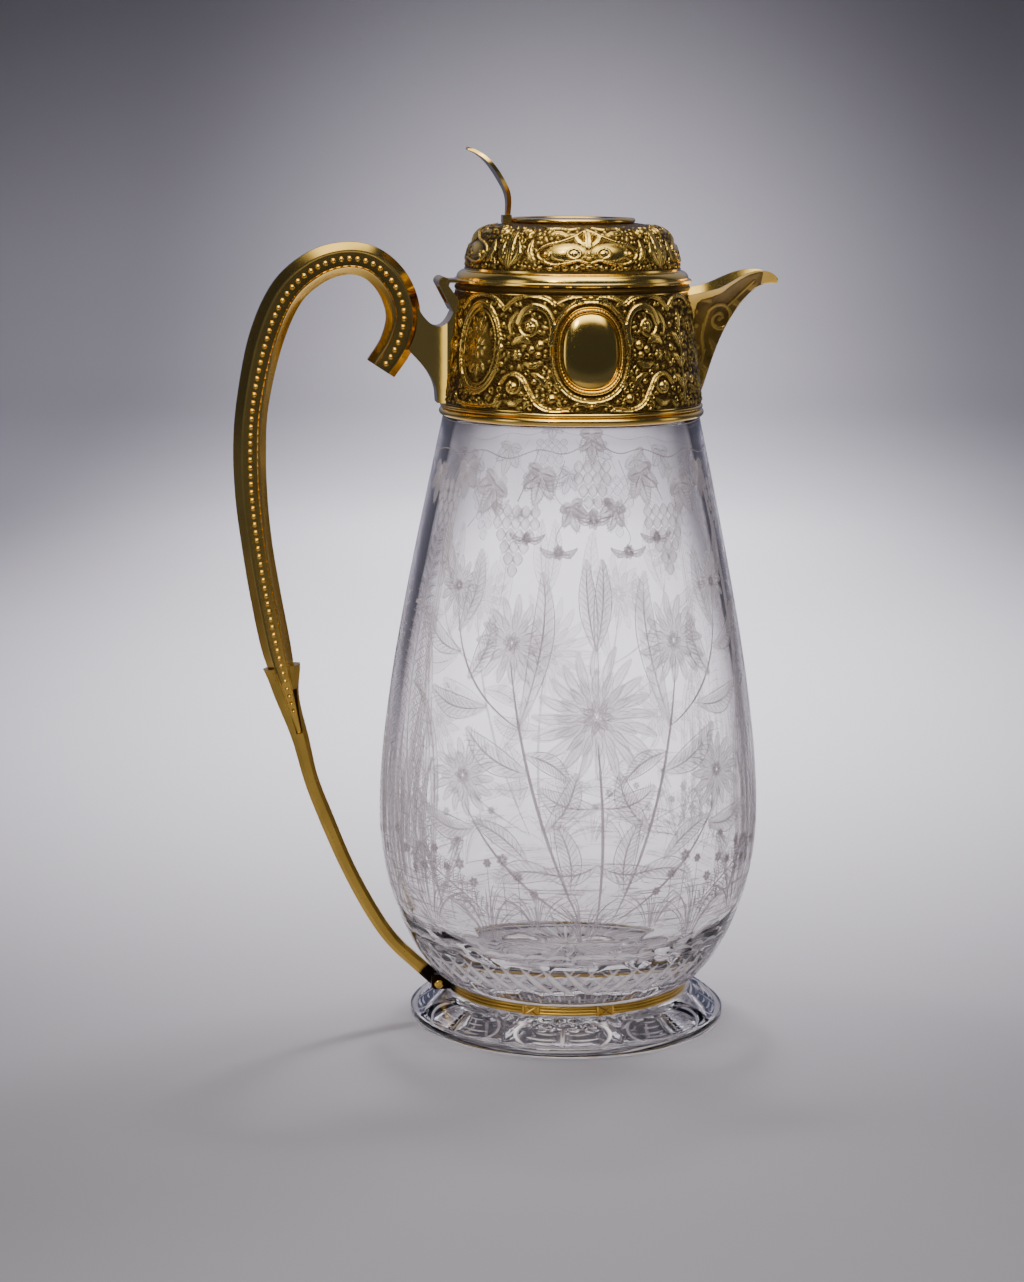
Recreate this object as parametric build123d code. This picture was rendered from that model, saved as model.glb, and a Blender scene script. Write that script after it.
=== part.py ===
from build123d import *
import math
import os

# Claret jug: a cut glass body in silver-gilt mounts, with a hinged lid. Millimetres.
# Origin: centre of the foot's underside. +Z is up, +X is the spout, -X is the handle, Y = 0 is the mirror plane.

# ---------------------------------------------------------------- driving dimensions
# Running and seating clearances
seat_gap = 0.1  # soldered or cemented round seats
lid_gap = 0.15  # between the lid's flange and the collar's rim
bezel_clearance = 0.7  # between the lid's bezel and the rim's inner edge
pin_clearance = 0.05  # radial, in every knuckle
knuckle_gap = 0.3  # end play between neighbouring knuckles
eye_clearance = 0.15  # each side, between the handle's eye and the lugs

# Glass
foot_radius = 52.0
foot_edge_height = 3.6
foot_shoulder_radius = 41.2
ring_seat_height = 10.4
waist_radius = 38.2
belly_radius = 62.2
belly_height = 70.0
body_top_radius = 41.5
body_top_height = 200.2
glass_wall = 4.0
floor_thickness = 6.8
floor_radius = 22.0
neck_step = 3.9  # the neck is this much narrower than the body's top
neck_wall = 3.6
neck_length = 13.8
heel_run = 8.1  # how far the body's lower curve leaves the waist sideways
heel_rise = 3.7  # and upwards
belly_fall = 30.0  # straightness of the wall below the belly
belly_climb = 36.0  # and above it
taper_run = 40.0  # straight stretch under the body's top
taper_slope = 0.21  # narrowing of that stretch, per mm of height
inner_heel_run = 24.0  # flat start of the inner curve at the floor
inner_belly_fall = 32.0

# Gilt ring round the waist, with the lugs that hold the handle's foot
ring_height = 3.2
ring_depth = 1.8
ring_groove_depth = 0.5
ring_reeds = 3
tie_proud = 0.4
tie_width = 5.6
tie_angles = (80.6, 115.0)  # from the spout, on both sides
lug_gap = 3.5
lug_thickness = 2.9
lug_length = 5.6
lug_height = 4.9
foot_pin_radius = 0.9
foot_pin_out = 3.3  # outside the ring
foot_pin_rise = 1.8  # above the ring's seat
pin_head_radius = 1.5
pin_head_height = 0.9

# Collar
base_flange_height = 4.2
base_flange_proud = 0.9
collar_overhang = 0.4  # beyond the body's top
collar_taper = 4.4
collar_wall = 1.2
collar_height = 36.0
rim_height = 2.15
rim_overhang = 0.3  # the rim's moulding beyond the collar's top
rim_lip = 0.8  # the rim's inner edge inside the collar's wall
cartouche_width = 21.0
cartouche_height = 27.3
plate_width = 16.4
plate_height = 22.5
cartouche_centre = 19.0  # above the collar's lower edge
frame_proud = 1.6
plate_proud = 0.6

# Spout
spout_wall = 1.1
spout_window_sill = 1.6  # above the glass neck

# Handle
handle_depth = 8.0
bevel = 2.5
bead_radius = 0.85
bead_pitch = 2.6
eye_radius = 2.2
neck_half_width = 3.3  # of the upper bracket, at its waist
bracket_spread = 6.4  # of the upper bracket, where it meets the collar

# Hinge
hinge_out = 4.0  # outside the lid's flange
hinge_rise = 0.15  # above the lid flange's underside
knuckle_radius = 1.75
hinge_pin_radius = 0.8
lid_knuckle_length = 11.0
ear_length = 2.5
finial_radius = 1.6
leaf_thickness = 1.1
ear_foot_drop = 6.6
ear_foot_height = 2.3

# Lid
lid_overhang = 0.7  # beyond the collar's top
lid_flange_thickness = 1.2
lid_moulding_height = 4.6
lid_step = 3.9  # from the flange's edge to the dome's foot
dome_height = 14.3
dome_wall = 1.1
disc_radius = 20.0
disc_thickness = 1.4
bezel_wall = 1.2
bezel_depth = 4.0
thumb_height = 22.4
thumb_width = 11.0
thumb_thickness = 1.3
thumb_out = 1.4  # from the disc's edge to the thumbpiece's root

# ---------------------------------------------------------------- derived places
ring_top = ring_seat_height + ring_height
ring_radius = waist_radius + ring_depth
foot_pin_reach = ring_radius + foot_pin_out
foot_pin_height = ring_seat_height + foot_pin_rise
neck_radius = body_top_radius - neck_step
neck_top = body_top_height + neck_length
collar_bottom = body_top_height + base_flange_height
collar_base_radius = body_top_radius + collar_overhang
collar_top = collar_bottom + collar_height
collar_top_radius = collar_base_radius - collar_taper
base_flange_radius = collar_base_radius + base_flange_proud
rim_top = collar_top + rim_height
lid_bottom = rim_top + lid_gap
lid_flange_radius = collar_top_radius + lid_overhang
dome_radius = lid_flange_radius - lid_step
bezel_radius = collar_top_radius - collar_wall - rim_lip - bezel_clearance
hinge_reach = lid_flange_radius + hinge_out
hinge_height = lid_bottom + hinge_rise
dome_bottom = lid_bottom + lid_moulding_height
dome_top = dome_bottom + dome_height
half_depth = handle_depth / 2
ear_y = lid_knuckle_length / 2 + knuckle_gap
cone_overrun = 15.0  # length of the collar-shaped cutter past the collar's ends

# Handle, bracket and spout are drawn for a collar and a foot pin at these places, and follow them
drawn_pin = (43.3, 12.2)
drawn_collar_foot = (41.9, 204.4)
drawn_collar_height = 36.0
drawn_belly = 62.2


def follow(x, z):
    """Place of a drawn point once the collar, the belly and the foot pin have their sizes."""
    share = min((z - drawn_pin[1]) / (drawn_collar_foot[1] - drawn_pin[1]), 1)
    above = max(z - drawn_collar_foot[1], 0) * collar_height / drawn_collar_height
    out = (1 - share) * (foot_pin_reach - drawn_pin[0]) + share * (collar_base_radius - drawn_collar_foot[0])
    out += 4 * share * (1 - share) * (belly_radius - drawn_belly)
    return x + math.copysign(out, x), foot_pin_height + share * (collar_bottom - foot_pin_height) + above


def xz(points):
    """Points (x, z) in the mirror plane."""
    return [Vector(x, 0, z) for x, z in points]


def turned(edges):
    """Solid of revolution about Z from a closed chain of edges in the mirror plane."""
    return revolve(make_face(edges), axis=Axis.Z, revolution_arc=360)


def ring_of(points):
    """Solid of revolution from a closed polygon of (radius, z)."""
    return turned(Polyline(*xz(points), close=True))


def slab(face, half):
    """Prism of a face in the mirror plane, from -half to +half along Y."""
    return extrude(face, amount=half, dir=(0, 1, 0), both=True)


def pin_along_y(radius, y0, y1, x, z):
    """Round bar parallel to Y."""
    return Pos(x, (y0 + y1) / 2, z) * Rot(90, 0, 0) * Cylinder(radius, y1 - y0)


# ---------------------------------------------------------------- glass
def lower_curve(start, start_pull, inset, fall):
    """Side of the body from its lower end up to the belly."""
    r = belly_radius - inset
    return Bezier(*xz([start, (start[0] + start_pull[0], start[1] + start_pull[1]),
                       (r, belly_height - fall), (r, belly_height)]))


def upper_curve(inset, top):
    """Side of the body from the belly up its taper to the top."""
    r, end = belly_radius - inset, body_top_radius - inset
    return Bezier(*xz([(r, belly_height), (r, belly_height + belly_climb),
                       (end + taper_slope * taper_run, top - taper_run), (end, top)]))


def glass_outside(grow=0.0):
    """Outer skin of foot and body, grown by a little where a neighbour needs room."""
    waist_edge = (waist_radius + 2.2 + grow, ring_top + 0.2 - grow)
    edge_top = foot_edge_height - 0.4
    shoulder = (foot_shoulder_radius, ring_seat_height + grow)
    brow = (foot_radius - 0.8, foot_edge_height + 0.3 + grow)
    middle = ((brow[0] + shoulder[0]) / 2 + 0.15, (brow[1] + shoulder[1]) / 2 + 0.25)
    edge = foot_radius + grow
    corner = (foot_radius - 0.2 + grow / 2, foot_edge_height + 0.1 + grow / 2)
    waist = waist_radius + grow
    return [
        Polyline(*xz([(0, -grow), (foot_radius - 0.8, -grow), (edge, 0.8), (edge, edge_top)])),
        ThreePointArc(*xz([(edge, edge_top), corner, brow])),
        ThreePointArc(*xz([brow, middle, shoulder])),
        Polyline(*xz([shoulder, (waist, shoulder[1]), (waist, waist_edge[1]), waist_edge])),
        lower_curve(waist_edge, (heel_run, heel_rise), -grow, belly_fall),
        upper_curve(-grow, body_top_height),
    ]


def make_glass():
    """Foot, body and neck blown and cut as one piece, hollow from the floor to the neck."""
    inner_top = body_top_height - 1.8
    throat_height = body_top_height + 4.5
    floor = (floor_radius, ring_top + floor_thickness)
    bore = neck_radius - neck_wall
    inner_end = body_top_radius - glass_wall
    lip = neck_wall / 2
    edges = [
        *glass_outside(),
        Polyline(*xz([(body_top_radius, body_top_height), (neck_radius, body_top_height),
                      (neck_radius, neck_top - lip)])),
        ThreePointArc(*xz([(neck_radius, neck_top - lip), (neck_radius - lip, neck_top), (bore, neck_top - lip)])),
        Line(*xz([(bore, neck_top - lip), (bore, throat_height)])),
        Bezier(*xz([(bore, throat_height), (bore, throat_height - 2.4), (inner_end - 0.42, inner_top + 2.0),
                    (inner_end, inner_top)])),
        upper_curve(glass_wall, inner_top),
        lower_curve(floor, (inner_heel_run, 0), glass_wall, inner_belly_fall),
        Polyline(*xz([floor, (0, floor[1]), (0, 0)])),
    ]
    return turned(edges)


# ---------------------------------------------------------------- waist ring
def reeded_band(inner, outer, bottom, height, reeds, depth):
    """Band whose outside is a row of half-round reeds."""
    step = height / reeds
    root = outer - depth
    edges = [Polyline(*xz([(root, bottom + height), (inner, bottom + height), (inner, bottom), (root, bottom)]))]
    for i in range(reeds):
        z = bottom + i * step
        edges.append(ThreePointArc(*xz([(root, z), (outer, z + step / 2), (root, z + step)])))
    return turned(edges)


def make_foot_ring():
    """Reeded band round the waist, open behind, with raised ties and two lugs for the handle's eye."""
    inner = waist_radius + seat_gap
    bottom = ring_seat_height + seat_gap / 2
    height = ring_height - seat_gap
    band = reeded_band(inner, ring_radius, bottom, height, ring_reeds, ring_groove_depth)
    tie_arc = math.degrees(tie_width / ring_radius)
    tie = revolve(
        make_face(Polyline(*xz([(inner + 0.4, bottom), (ring_radius + tie_proud, bottom),
                                (ring_radius + tie_proud, bottom + height), (inner + 0.4, bottom + height)]),
                           close=True)),
        axis=Axis.Z, revolution_arc=tie_arc)
    for angle in tie_angles:
        for side in (-1, 1):
            band += Rot(0, 0, side * angle - tie_arc / 2) * tie
    reach = ring_radius + lug_length
    lug = Pos(-(inner + 0.3 + reach) / 2, 0, bottom + lug_height / 2) * Box(
        reach - inner - 0.3, lug_gap + 2 * lug_thickness, lug_height)
    lug = chamfer(lug.faces().sort_by(Axis.X)[0].edges(), 0.7)
    band += lug
    split = Pos(-ring_radius, 0, bottom + lug_height / 2) * Box(4 * lug_length, lug_gap, 2 * lug_height)
    band -= split
    band -= turned([*glass_outside(seat_gap), Polyline(*xz([
        (body_top_radius + seat_gap, body_top_height), (0, body_top_height), (0, -seat_gap)]))])
    hole = pin_along_y(foot_pin_radius + pin_clearance, -20, 20, -foot_pin_reach, foot_pin_height)
    return band - hole


def make_foot_pin():
    """Screw through the lugs and the handle's eye, with a domed head on the near side."""
    outer = lug_gap / 2 + lug_thickness
    shank = pin_along_y(foot_pin_radius, -outer, outer + pin_head_height + 0.3, -foot_pin_reach, foot_pin_height)
    return shank + domed_head(-1, outer)


def make_foot_nut():
    """Domed nut on the screw's far end."""
    outer = lug_gap / 2 + lug_thickness
    bore = pin_along_y(foot_pin_radius, 0, outer + 2 * pin_head_height, -foot_pin_reach, foot_pin_height)
    return domed_head(1, outer) - bore


def domed_head(side, outer):
    """Round cap with a well-rounded edge on the outer face of a lug."""
    cap = Cylinder(pin_head_radius, pin_head_height)
    cap = fillet(cap.edges().sort_by(Axis.Z)[-1], pin_head_height * 0.8)
    return Pos(-foot_pin_reach, side * (outer + pin_head_height / 2), foot_pin_height) * Rot(-90 * side, 0, 0) * cap


# ---------------------------------------------------------------- collar
def collar_radius(z):
    """Outer radius of the collar's cone at a height."""
    share = (z - collar_bottom) / (collar_top - collar_bottom)
    return collar_base_radius + share * (collar_top_radius - collar_base_radius)


def collar_cone(grow):
    """Solid cone of the collar's outer skin moved out by a distance, to cut its neighbours with."""
    low, high = body_top_height - cone_overrun, rim_top + cone_overrun
    return ring_of([(0, low), (collar_radius(low) + grow, low), (collar_radius(high) + grow, high), (0, high)])


def make_collar_base():
    """Moulded flange that stands on the glass shoulder and carries the collar."""
    low = body_top_height + seat_gap / 2
    inner = neck_radius + seat_gap
    root = base_flange_radius - 0.5
    thick = (collar_bottom - low) * 0.42
    thin = (collar_bottom - low) * 0.25
    return turned([
        Polyline(*xz([(collar_base_radius, collar_bottom), (inner, collar_bottom), (inner, low), (root, low)])),
        ThreePointArc(*xz([(root, low), (base_flange_radius, low + thick / 2), (root, low + thick)])),
        ThreePointArc(*xz([(root, low + thick), (root + 0.3, low + thick + thin / 2), (root, low + thick + thin)])),
        Spline(*xz([(root, low + thick + thin), (collar_base_radius + 0.15, collar_bottom - 0.5),
                    (collar_base_radius, collar_bottom)])),
    ])


def make_cement():
    """Plaster bed between the glass neck and the collar."""
    low, high = collar_bottom + seat_gap / 2, neck_top
    inner = neck_radius + seat_gap / 2
    gap = collar_wall + seat_gap / 2
    return ring_of([(inner, low), (collar_radius(low) - gap, low), (collar_radius(high) - gap, high), (inner, high)])


def make_collar():
    """Tapering band with the window through which the wine reaches the spout."""
    low, high = collar_bottom, collar_top
    band = ring_of([(collar_base_radius - collar_wall, low), (collar_base_radius, low),
                    (collar_top_radius, high), (collar_top_radius - collar_wall, high)])
    sill = neck_top + spout_window_sill
    tip = spout_stations[-1][0]
    room = Pos(tip / 2, 0, (sill + collar_top) / 2) * Box(tip, 2 * collar_base_radius, collar_top - sill)
    return band - (spout_channel() & room)


def make_collar_rim():
    """Moulded seat for the lid, on top of the collar."""
    outer = collar_top_radius + rim_overhang
    inner = collar_top_radius - collar_wall - rim_lip
    return turned([
        Polyline(*xz([(outer - 0.5, rim_top), (inner, rim_top), (inner, collar_top), (outer - 0.4, collar_top)])),
        ThreePointArc(*xz([(outer - 0.4, collar_top), (outer, collar_top + rim_height * 0.35),
                           (outer - 0.35, collar_top + rim_height * 0.7)])),
        Line(*xz([(outer - 0.35, collar_top + rim_height * 0.7), (outer - 0.5, rim_top)])),
    ])


def oval(width, height, z, side):
    """Oval prism pointing out of one side of the collar."""
    reach = collar_base_radius + 4
    face = Plane(origin=(0, 0, z), x_dir=(1, 0, 0), z_dir=(0, side, 0)) * Ellipse(width / 2, height / 2)
    return extrude(face, amount=reach, dir=(0, side, 0))


def make_cartouche(side):
    """Applied blank shield: a sunk plate in a raised frame, bent to the collar."""
    z = collar_bottom + cartouche_centre
    frame = oval(cartouche_width, cartouche_height, z, side) & collar_cone(frame_proud)
    sunk = oval(plate_width, plate_height, z, side) - collar_cone(plate_proud)
    return frame - collar_cone(0) - sunk


# ---------------------------------------------------------------- spout
# drawn stations along the spout: (x, keel height, rim height, half-width at the rim, flare exponent)
spout_drawn = (
    (34.0, 188.0, 239.9, 15.6, 4.0),
    (40.0, 201.5, 240.1, 15.0, 3.6),
    (44.5, 213.0, 241.0, 13.9, 3.0),
    (49.5, 226.5, 243.1, 12.0, 2.2),
    (54.5, 234.9, 245.4, 9.6, 1.6),
    (59.5, 240.2, 246.5, 6.8, 1.2),
    (63.5, 242.0, 246.0, 4.3, 1.0),
    (67.0, 242.1, 243.6, 2.0, 1.0),
)
spout_stations = [
    (follow(x, rim)[0], follow(x, keel)[1], follow(x, rim)[1], half_width, flare)
    for x, keel, rim, half_width, flare in spout_drawn
]


def spout_edge(x, keel, rim, half_width, flare, inset):
    """Cross-section line of the spout at x: up from the keel into two wings. Inset moves it in by the wall."""
    low = keel + inset * 1.2
    wing = half_width - inset
    nose = wing * 0.12
    points = []
    for share in (1.0, 0.75, 0.5, 0.25):
        points.append(Vector(x, -(nose + (wing - nose) * share**flare), low + (rim - low) * share))
    mirrored = [Vector(p.X, -p.Y, p.Z) for p in reversed(points)]
    return Spline(*points, Vector(x, 0, low), *mirrored)


def spout_channel():
    """Solid that fills the spout's hollow, to cut the collar's window with."""
    sections = []
    for station in spout_stations:
        edge = spout_edge(*station, spout_wall)
        sections.append(make_face([edge, Line(edge @ 1, edge @ 0)]))
    return loft(sections)


def make_spout():
    """Beak with a thin wall, open on top and in front, cut to the collar."""
    sections = []
    for station in spout_stations:
        outer = spout_edge(*station, 0.0)
        inner = spout_edge(*station, spout_wall)
        sections.append(make_face([outer, Line(outer @ 1, inner @ 1), inner, Line(inner @ 0, outer @ 0)]))
    shell = loft(sections) - collar_cone(0)
    return shell.solids().sort_by(SortBy.VOLUME)[-1]


# ---------------------------------------------------------------- handle
# drawn stations along the handle's middle line from the scroll's end: (x, z, width)
scroll_drawn = (
    (-61.7, 215.3, 10.2),
    (-56.6, 223.3, 10.6),
    (-54.5, 232.6, 10.9),
    (-57.6, 242.0, 10.9),
    (-64.4, 248.6, 10.5),
    (-73.0, 250.2, 10.3),
    (-82.6, 247.2, 10.8),
    (-91.6, 239.2, 11.0),
    (-98.2, 224.6, 11.0),
    (-102.6, 204.6, 10.2),
    (-103.7, 189.0, 10.4),
    (-103.2, 173.4, 10.2),
    (-101.5, 158.0, 9.8),
    (-99.0, 142.3, 9.9),
    (-95.6, 124.6, 9.4),
    (-92.2, 111.0, 5.9),
    (-88.6, 97.5, 2.2),
)
tail_drawn = (  # (x, z, width, half depth)
    (-94.1, 119.2, 12.0, 3.6),
    (-92.9, 111.8, 8.6, 3.6),
    (-90.5, 102.8, 6.3, 3.4),
    (-88.0, 94.6, 5.4, 3.1),
    (-85.6, 84.5, 4.8, 2.9),
    (-80.4, 69.8, 4.8, 2.8),
    (-73.9, 54.0, 4.5, 2.7),
    (-65.5, 37.5, 4.5, 2.6),
    (-56.8, 25.0, 4.4, 2.5),
    (-50.0, 18.4, 4.4, 2.0),
)
scroll_stations = [(*follow(x, z), width) for x, z, width in scroll_drawn]
tail_stations = [(*follow(x, z), width, depth) for x, z, width, depth in tail_drawn]


def heading(points, i):
    """Direction of the middle line at station i, from its neighbours."""
    a = points[max(i - 1, 0)]
    b = points[min(i + 1, len(points) - 1)]
    return Vector(b[0] - a[0], 0, b[1] - a[1]).normalized()


def eight_sided(centre, along, width, depth, cut):
    """Flat-sided section with bevelled corners, square to the middle line."""
    across = Vector(-along.Z, 0, along.X)
    w, d = width / 2, depth
    corners = [(w, d - cut), (w - cut, d), (cut - w, d), (-w, d - cut),
               (-w, cut - d), (cut - w, -d), (w - cut, -d), (w, cut - d)]
    return make_face(Polyline(*[centre + across * a + Vector(0, b, 0) for a, b in corners], close=True))


def make_scroll():
    """Handle's upper part: a bevelled bar rolled into a scroll, thinning to a tongue below."""
    sections = []
    for i, (x, z, width) in enumerate(scroll_stations):
        cut = min(bevel, width * 0.28)
        sections.append(eight_sided(Vector(x, 0, z), heading(scroll_stations, i), width, half_depth, cut))
    return loft(sections)


def make_beads(side):
    """One row of half-round beads along a side face of the handle."""
    line = Spline(*xz([(x, z) for x, z, _ in scroll_stations]))
    count = int((line.length - 6) / bead_pitch)
    beads = []
    flat_down = (Align.CENTER, Align.CENTER, Align.MIN)
    for i in range(count):
        p = line @ ((2.2 + i * bead_pitch) / line.length)
        radius = bead_radius if i < count - 8 else bead_radius * (1 - 0.06 * (i - count + 9))
        ball = Rot(-90 * side, 0, 0) * Sphere(radius, arc_size1=0, align=flat_down)
        beads.append(Pos(p.X, side * half_depth, p.Z) * ball)
    return Compound(children=beads)


def make_tail(scroll):
    """Handle's lower part: a forked sheath round the tongue, a slim stem and an eye for the pin."""
    eye_half = lug_gap / 2 - eye_clearance
    stations = [*tail_stations, (-foot_pin_reach - 3.6, foot_pin_height + 3.2, 2 * eye_radius, eye_half),
                (-foot_pin_reach, foot_pin_height, 2 * eye_radius, eye_half)]
    sections = []
    for i, (x, z, width, depth) in enumerate(stations):
        cut = min(width, 2 * depth) * 0.28
        sections.append(eight_sided(Vector(x, 0, z), heading(stations, i), width, depth, cut))
    stem = loft(sections)
    stem += pin_along_y(eye_radius, -eye_half, eye_half, -foot_pin_reach, foot_pin_height)
    stem -= pin_along_y(foot_pin_radius + pin_clearance, -20, 20, -foot_pin_reach, foot_pin_height)
    return (stem - scroll).solids().sort_by(SortBy.VOLUME)[-1]


def drawn(points):
    """Drawn points (x, z) at their places in the mirror plane."""
    return xz([follow(x, z) for x, z in points])


def make_bracket(scroll):
    """Upper bracket: a waisted block between the scroll and the collar, with a leg down to the flange."""
    inside = -30.0  # well inside the collar, which cuts the block off
    low = drawn_collar_foot[1] + 0.1
    face = make_face([
        Spline(*drawn([(-52.5, 242.0), (-50.0, 234.8), (-44.0, 228.9), (-39.0, 233.5)])),
        Polyline(*drawn([(-39.0, 233.5), (inside, 233.5), (inside, low), (-43.9, low), (-44.2, low + 3.5)])),
        Spline(*drawn([(-44.2, low + 3.5), (-46.0, 213.0), (-52.5, 220.8), (-57.0, 226.0)])),
        Line(*drawn([(-57.0, 226.0), (-52.5, 242.0)])),
    ])
    back, waist, front = [follow(x, drawn_collar_foot[1])[0] for x in (-57.0, -47.0, -41.0)]
    tail = neck_half_width + 0.4
    plan = make_face([
        Spline((back, tail, 0), (waist, neck_half_width, 0), (front, bracket_spread, 0)),
        Polyline((front, bracket_spread, 0), (inside, bracket_spread, 0), (inside, -bracket_spread, 0),
                 (front, -bracket_spread, 0)),
        Spline((front, -bracket_spread, 0), (waist, -neck_half_width, 0), (back, -tail, 0)),
        Line((back, -tail, 0), (back, tail, 0)),
    ])
    column = extrude(Pos(0, 0, body_top_height) * plan, amount=2 * collar_height)
    block = slab(face, 2 * bracket_spread) & column
    block = block - collar_cone(0) - scroll
    return block.solids().sort_by(SortBy.VOLUME)[-1]


# ---------------------------------------------------------------- hinge
def make_hinge_ears():
    """Two knuckles on slanting arms, joined by a foot plate against the collar."""
    foot_low = collar_top - ear_foot_drop
    foot_high = foot_low + ear_foot_height
    arm = make_face(Polyline(*xz([
        (-hinge_reach - 1.5, hinge_height - 0.8), (-hinge_reach + 1.5, hinge_height - 1.0),
        (-collar_radius(foot_high) + 1, foot_high + 0.6), (-collar_radius(foot_high) + 1, foot_low),
        (-collar_radius(foot_low) - 1.1, foot_low)]), close=True))
    arm = slab(arm, ear_y + ear_length)
    knuckle = pin_along_y(knuckle_radius, -ear_y - ear_length, ear_y + ear_length, -hinge_reach, hinge_height)
    ears = arm + knuckle
    middle = Pos(-hinge_reach, 0, hinge_height) * Box(16, 2 * ear_y, 2 * (hinge_height - foot_high))
    ears = ears - middle - collar_cone(0)
    beside = collar_top_radius + rim_overhang + 0.6
    low = collar_top - 0.1
    rim_room = ring_of([(0, low), (beside, low), (beside, dome_bottom), (0, dome_bottom)])
    ears -= rim_room
    return ears - pin_along_y(hinge_pin_radius + pin_clearance, -20, 20, -hinge_reach, hinge_height)


def make_hinge_pin():
    """Pin through the three knuckles, headed on the near side."""
    end = ear_y + ear_length
    shank = pin_along_y(hinge_pin_radius, -end, end + 1.0, -hinge_reach, hinge_height)
    head = pin_along_y(knuckle_radius * 0.8, -end - 0.9, -end, -hinge_reach, hinge_height)
    return shank + head


def make_hinge_finial():
    """Ball on the pin's far end."""
    end = ear_y + ear_length
    ball = Pos(-hinge_reach, end + finial_radius * 0.9, hinge_height) * Sphere(finial_radius)
    ball &= Pos(-hinge_reach, end + finial_radius * 2, hinge_height) * Box(
        4 * finial_radius, 4 * finial_radius, 4 * finial_radius)
    return ball - pin_along_y(hinge_pin_radius, 0, end + 1.0, -hinge_reach, hinge_height)


def make_lid_leaf():
    """Strip from the lid's flange to the middle knuckle."""
    half = lid_knuckle_length / 2
    length = hinge_reach - dome_radius
    strip = Pos(-hinge_reach + length / 2, 0, lid_bottom + leaf_thickness / 2) * Box(
        length, lid_knuckle_length, leaf_thickness)
    leaf = strip + pin_along_y(knuckle_radius, -half, half, -hinge_reach, hinge_height)
    leaf -= pin_along_y(hinge_pin_radius + pin_clearance, -20, 20, -hinge_reach, hinge_height)
    r = lid_flange_radius
    return leaf - ring_of([(0, rim_top), (r, rim_top), (r, dome_top), (0, dome_top)])


# ---------------------------------------------------------------- lid
def make_lid_flange():
    """Stepped moulding round the lid's foot."""
    z, r = lid_bottom, lid_flange_radius
    inner = dome_radius - dome_wall
    step = z + lid_flange_thickness
    top = dome_bottom
    return turned([
        Polyline(*xz([(inner, top), (inner, z), (r - 0.3, z), (r, z + 0.3),
                      (r, step - 0.3), (r - 0.3, step), (r - 1.0, step), (r - 1.0, step + 0.5)])),
        ThreePointArc(*xz([(r - 1.0, step + 0.5), (r - 1.7, step + 1.9), (dome_radius + 0.7, top - 0.8)])),
        Polyline(*xz([(dome_radius + 0.7, top - 0.8), (dome_radius + 0.4, top - 0.6), (dome_radius + 0.4, top),
                      (inner, top)])),
    ])


def dome_curve(inset):
    """Dome's side from its foot, over the shoulder, to the flat top."""
    foot, crown = (dome_radius - inset, dome_bottom), (disc_radius - 1, dome_top - inset)
    return foot, crown, Spline(
        *xz([foot, (dome_radius - 1.5 - inset, dome_bottom + 0.44 * dome_height),
             (dome_radius - 3.5 - 0.9 * inset, dome_bottom + 0.71 * dome_height - 0.3 * inset),
             (dome_radius - 6.0 - 0.6 * inset, dome_bottom + 0.86 * dome_height - 0.7 * inset),
             crown]),
        tangents=[(-0.08, 0, 1), (-1, 0, 0.05)])


def make_lid_dome():
    """Thin dome with a flat crown."""
    foot, crown, outer = dome_curve(0)
    inner_foot, inner_crown, inner = dome_curve(dome_wall)
    return turned([
        outer, inner,
        Line(*xz([foot, inner_foot])),
        Polyline(*xz([crown, (0, dome_top), (0, inner_crown[1]), inner_crown])),
    ])


def make_lid_disc():
    """Plain disc on the crown, with a moulded edge."""
    z, r, t = dome_top, disc_radius, disc_thickness
    return turned([
        Polyline(*xz([(r - 1.4, z + t * 0.75), (0, z + t * 0.75), (0, z), (r - 0.4, z)])),
        ThreePointArc(*xz([(r - 0.4, z), (r, z + t * 0.45), (r - 0.4, z + t)])),
        ThreePointArc(*xz([(r - 0.4, z + t), (r - 1.0, z + t), (r - 1.4, z + t * 0.75)])),
    ])


def make_lid_bezel():
    """Collar under the lid that drops into the mouth."""
    r, z = bezel_radius, lid_bottom
    inner = r - bezel_wall
    return ring_of([(inner, z), (r, z), (r, z - bezel_depth + 0.5), (r - 0.4, z - bezel_depth),
                    (inner, z - bezel_depth)])


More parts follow.
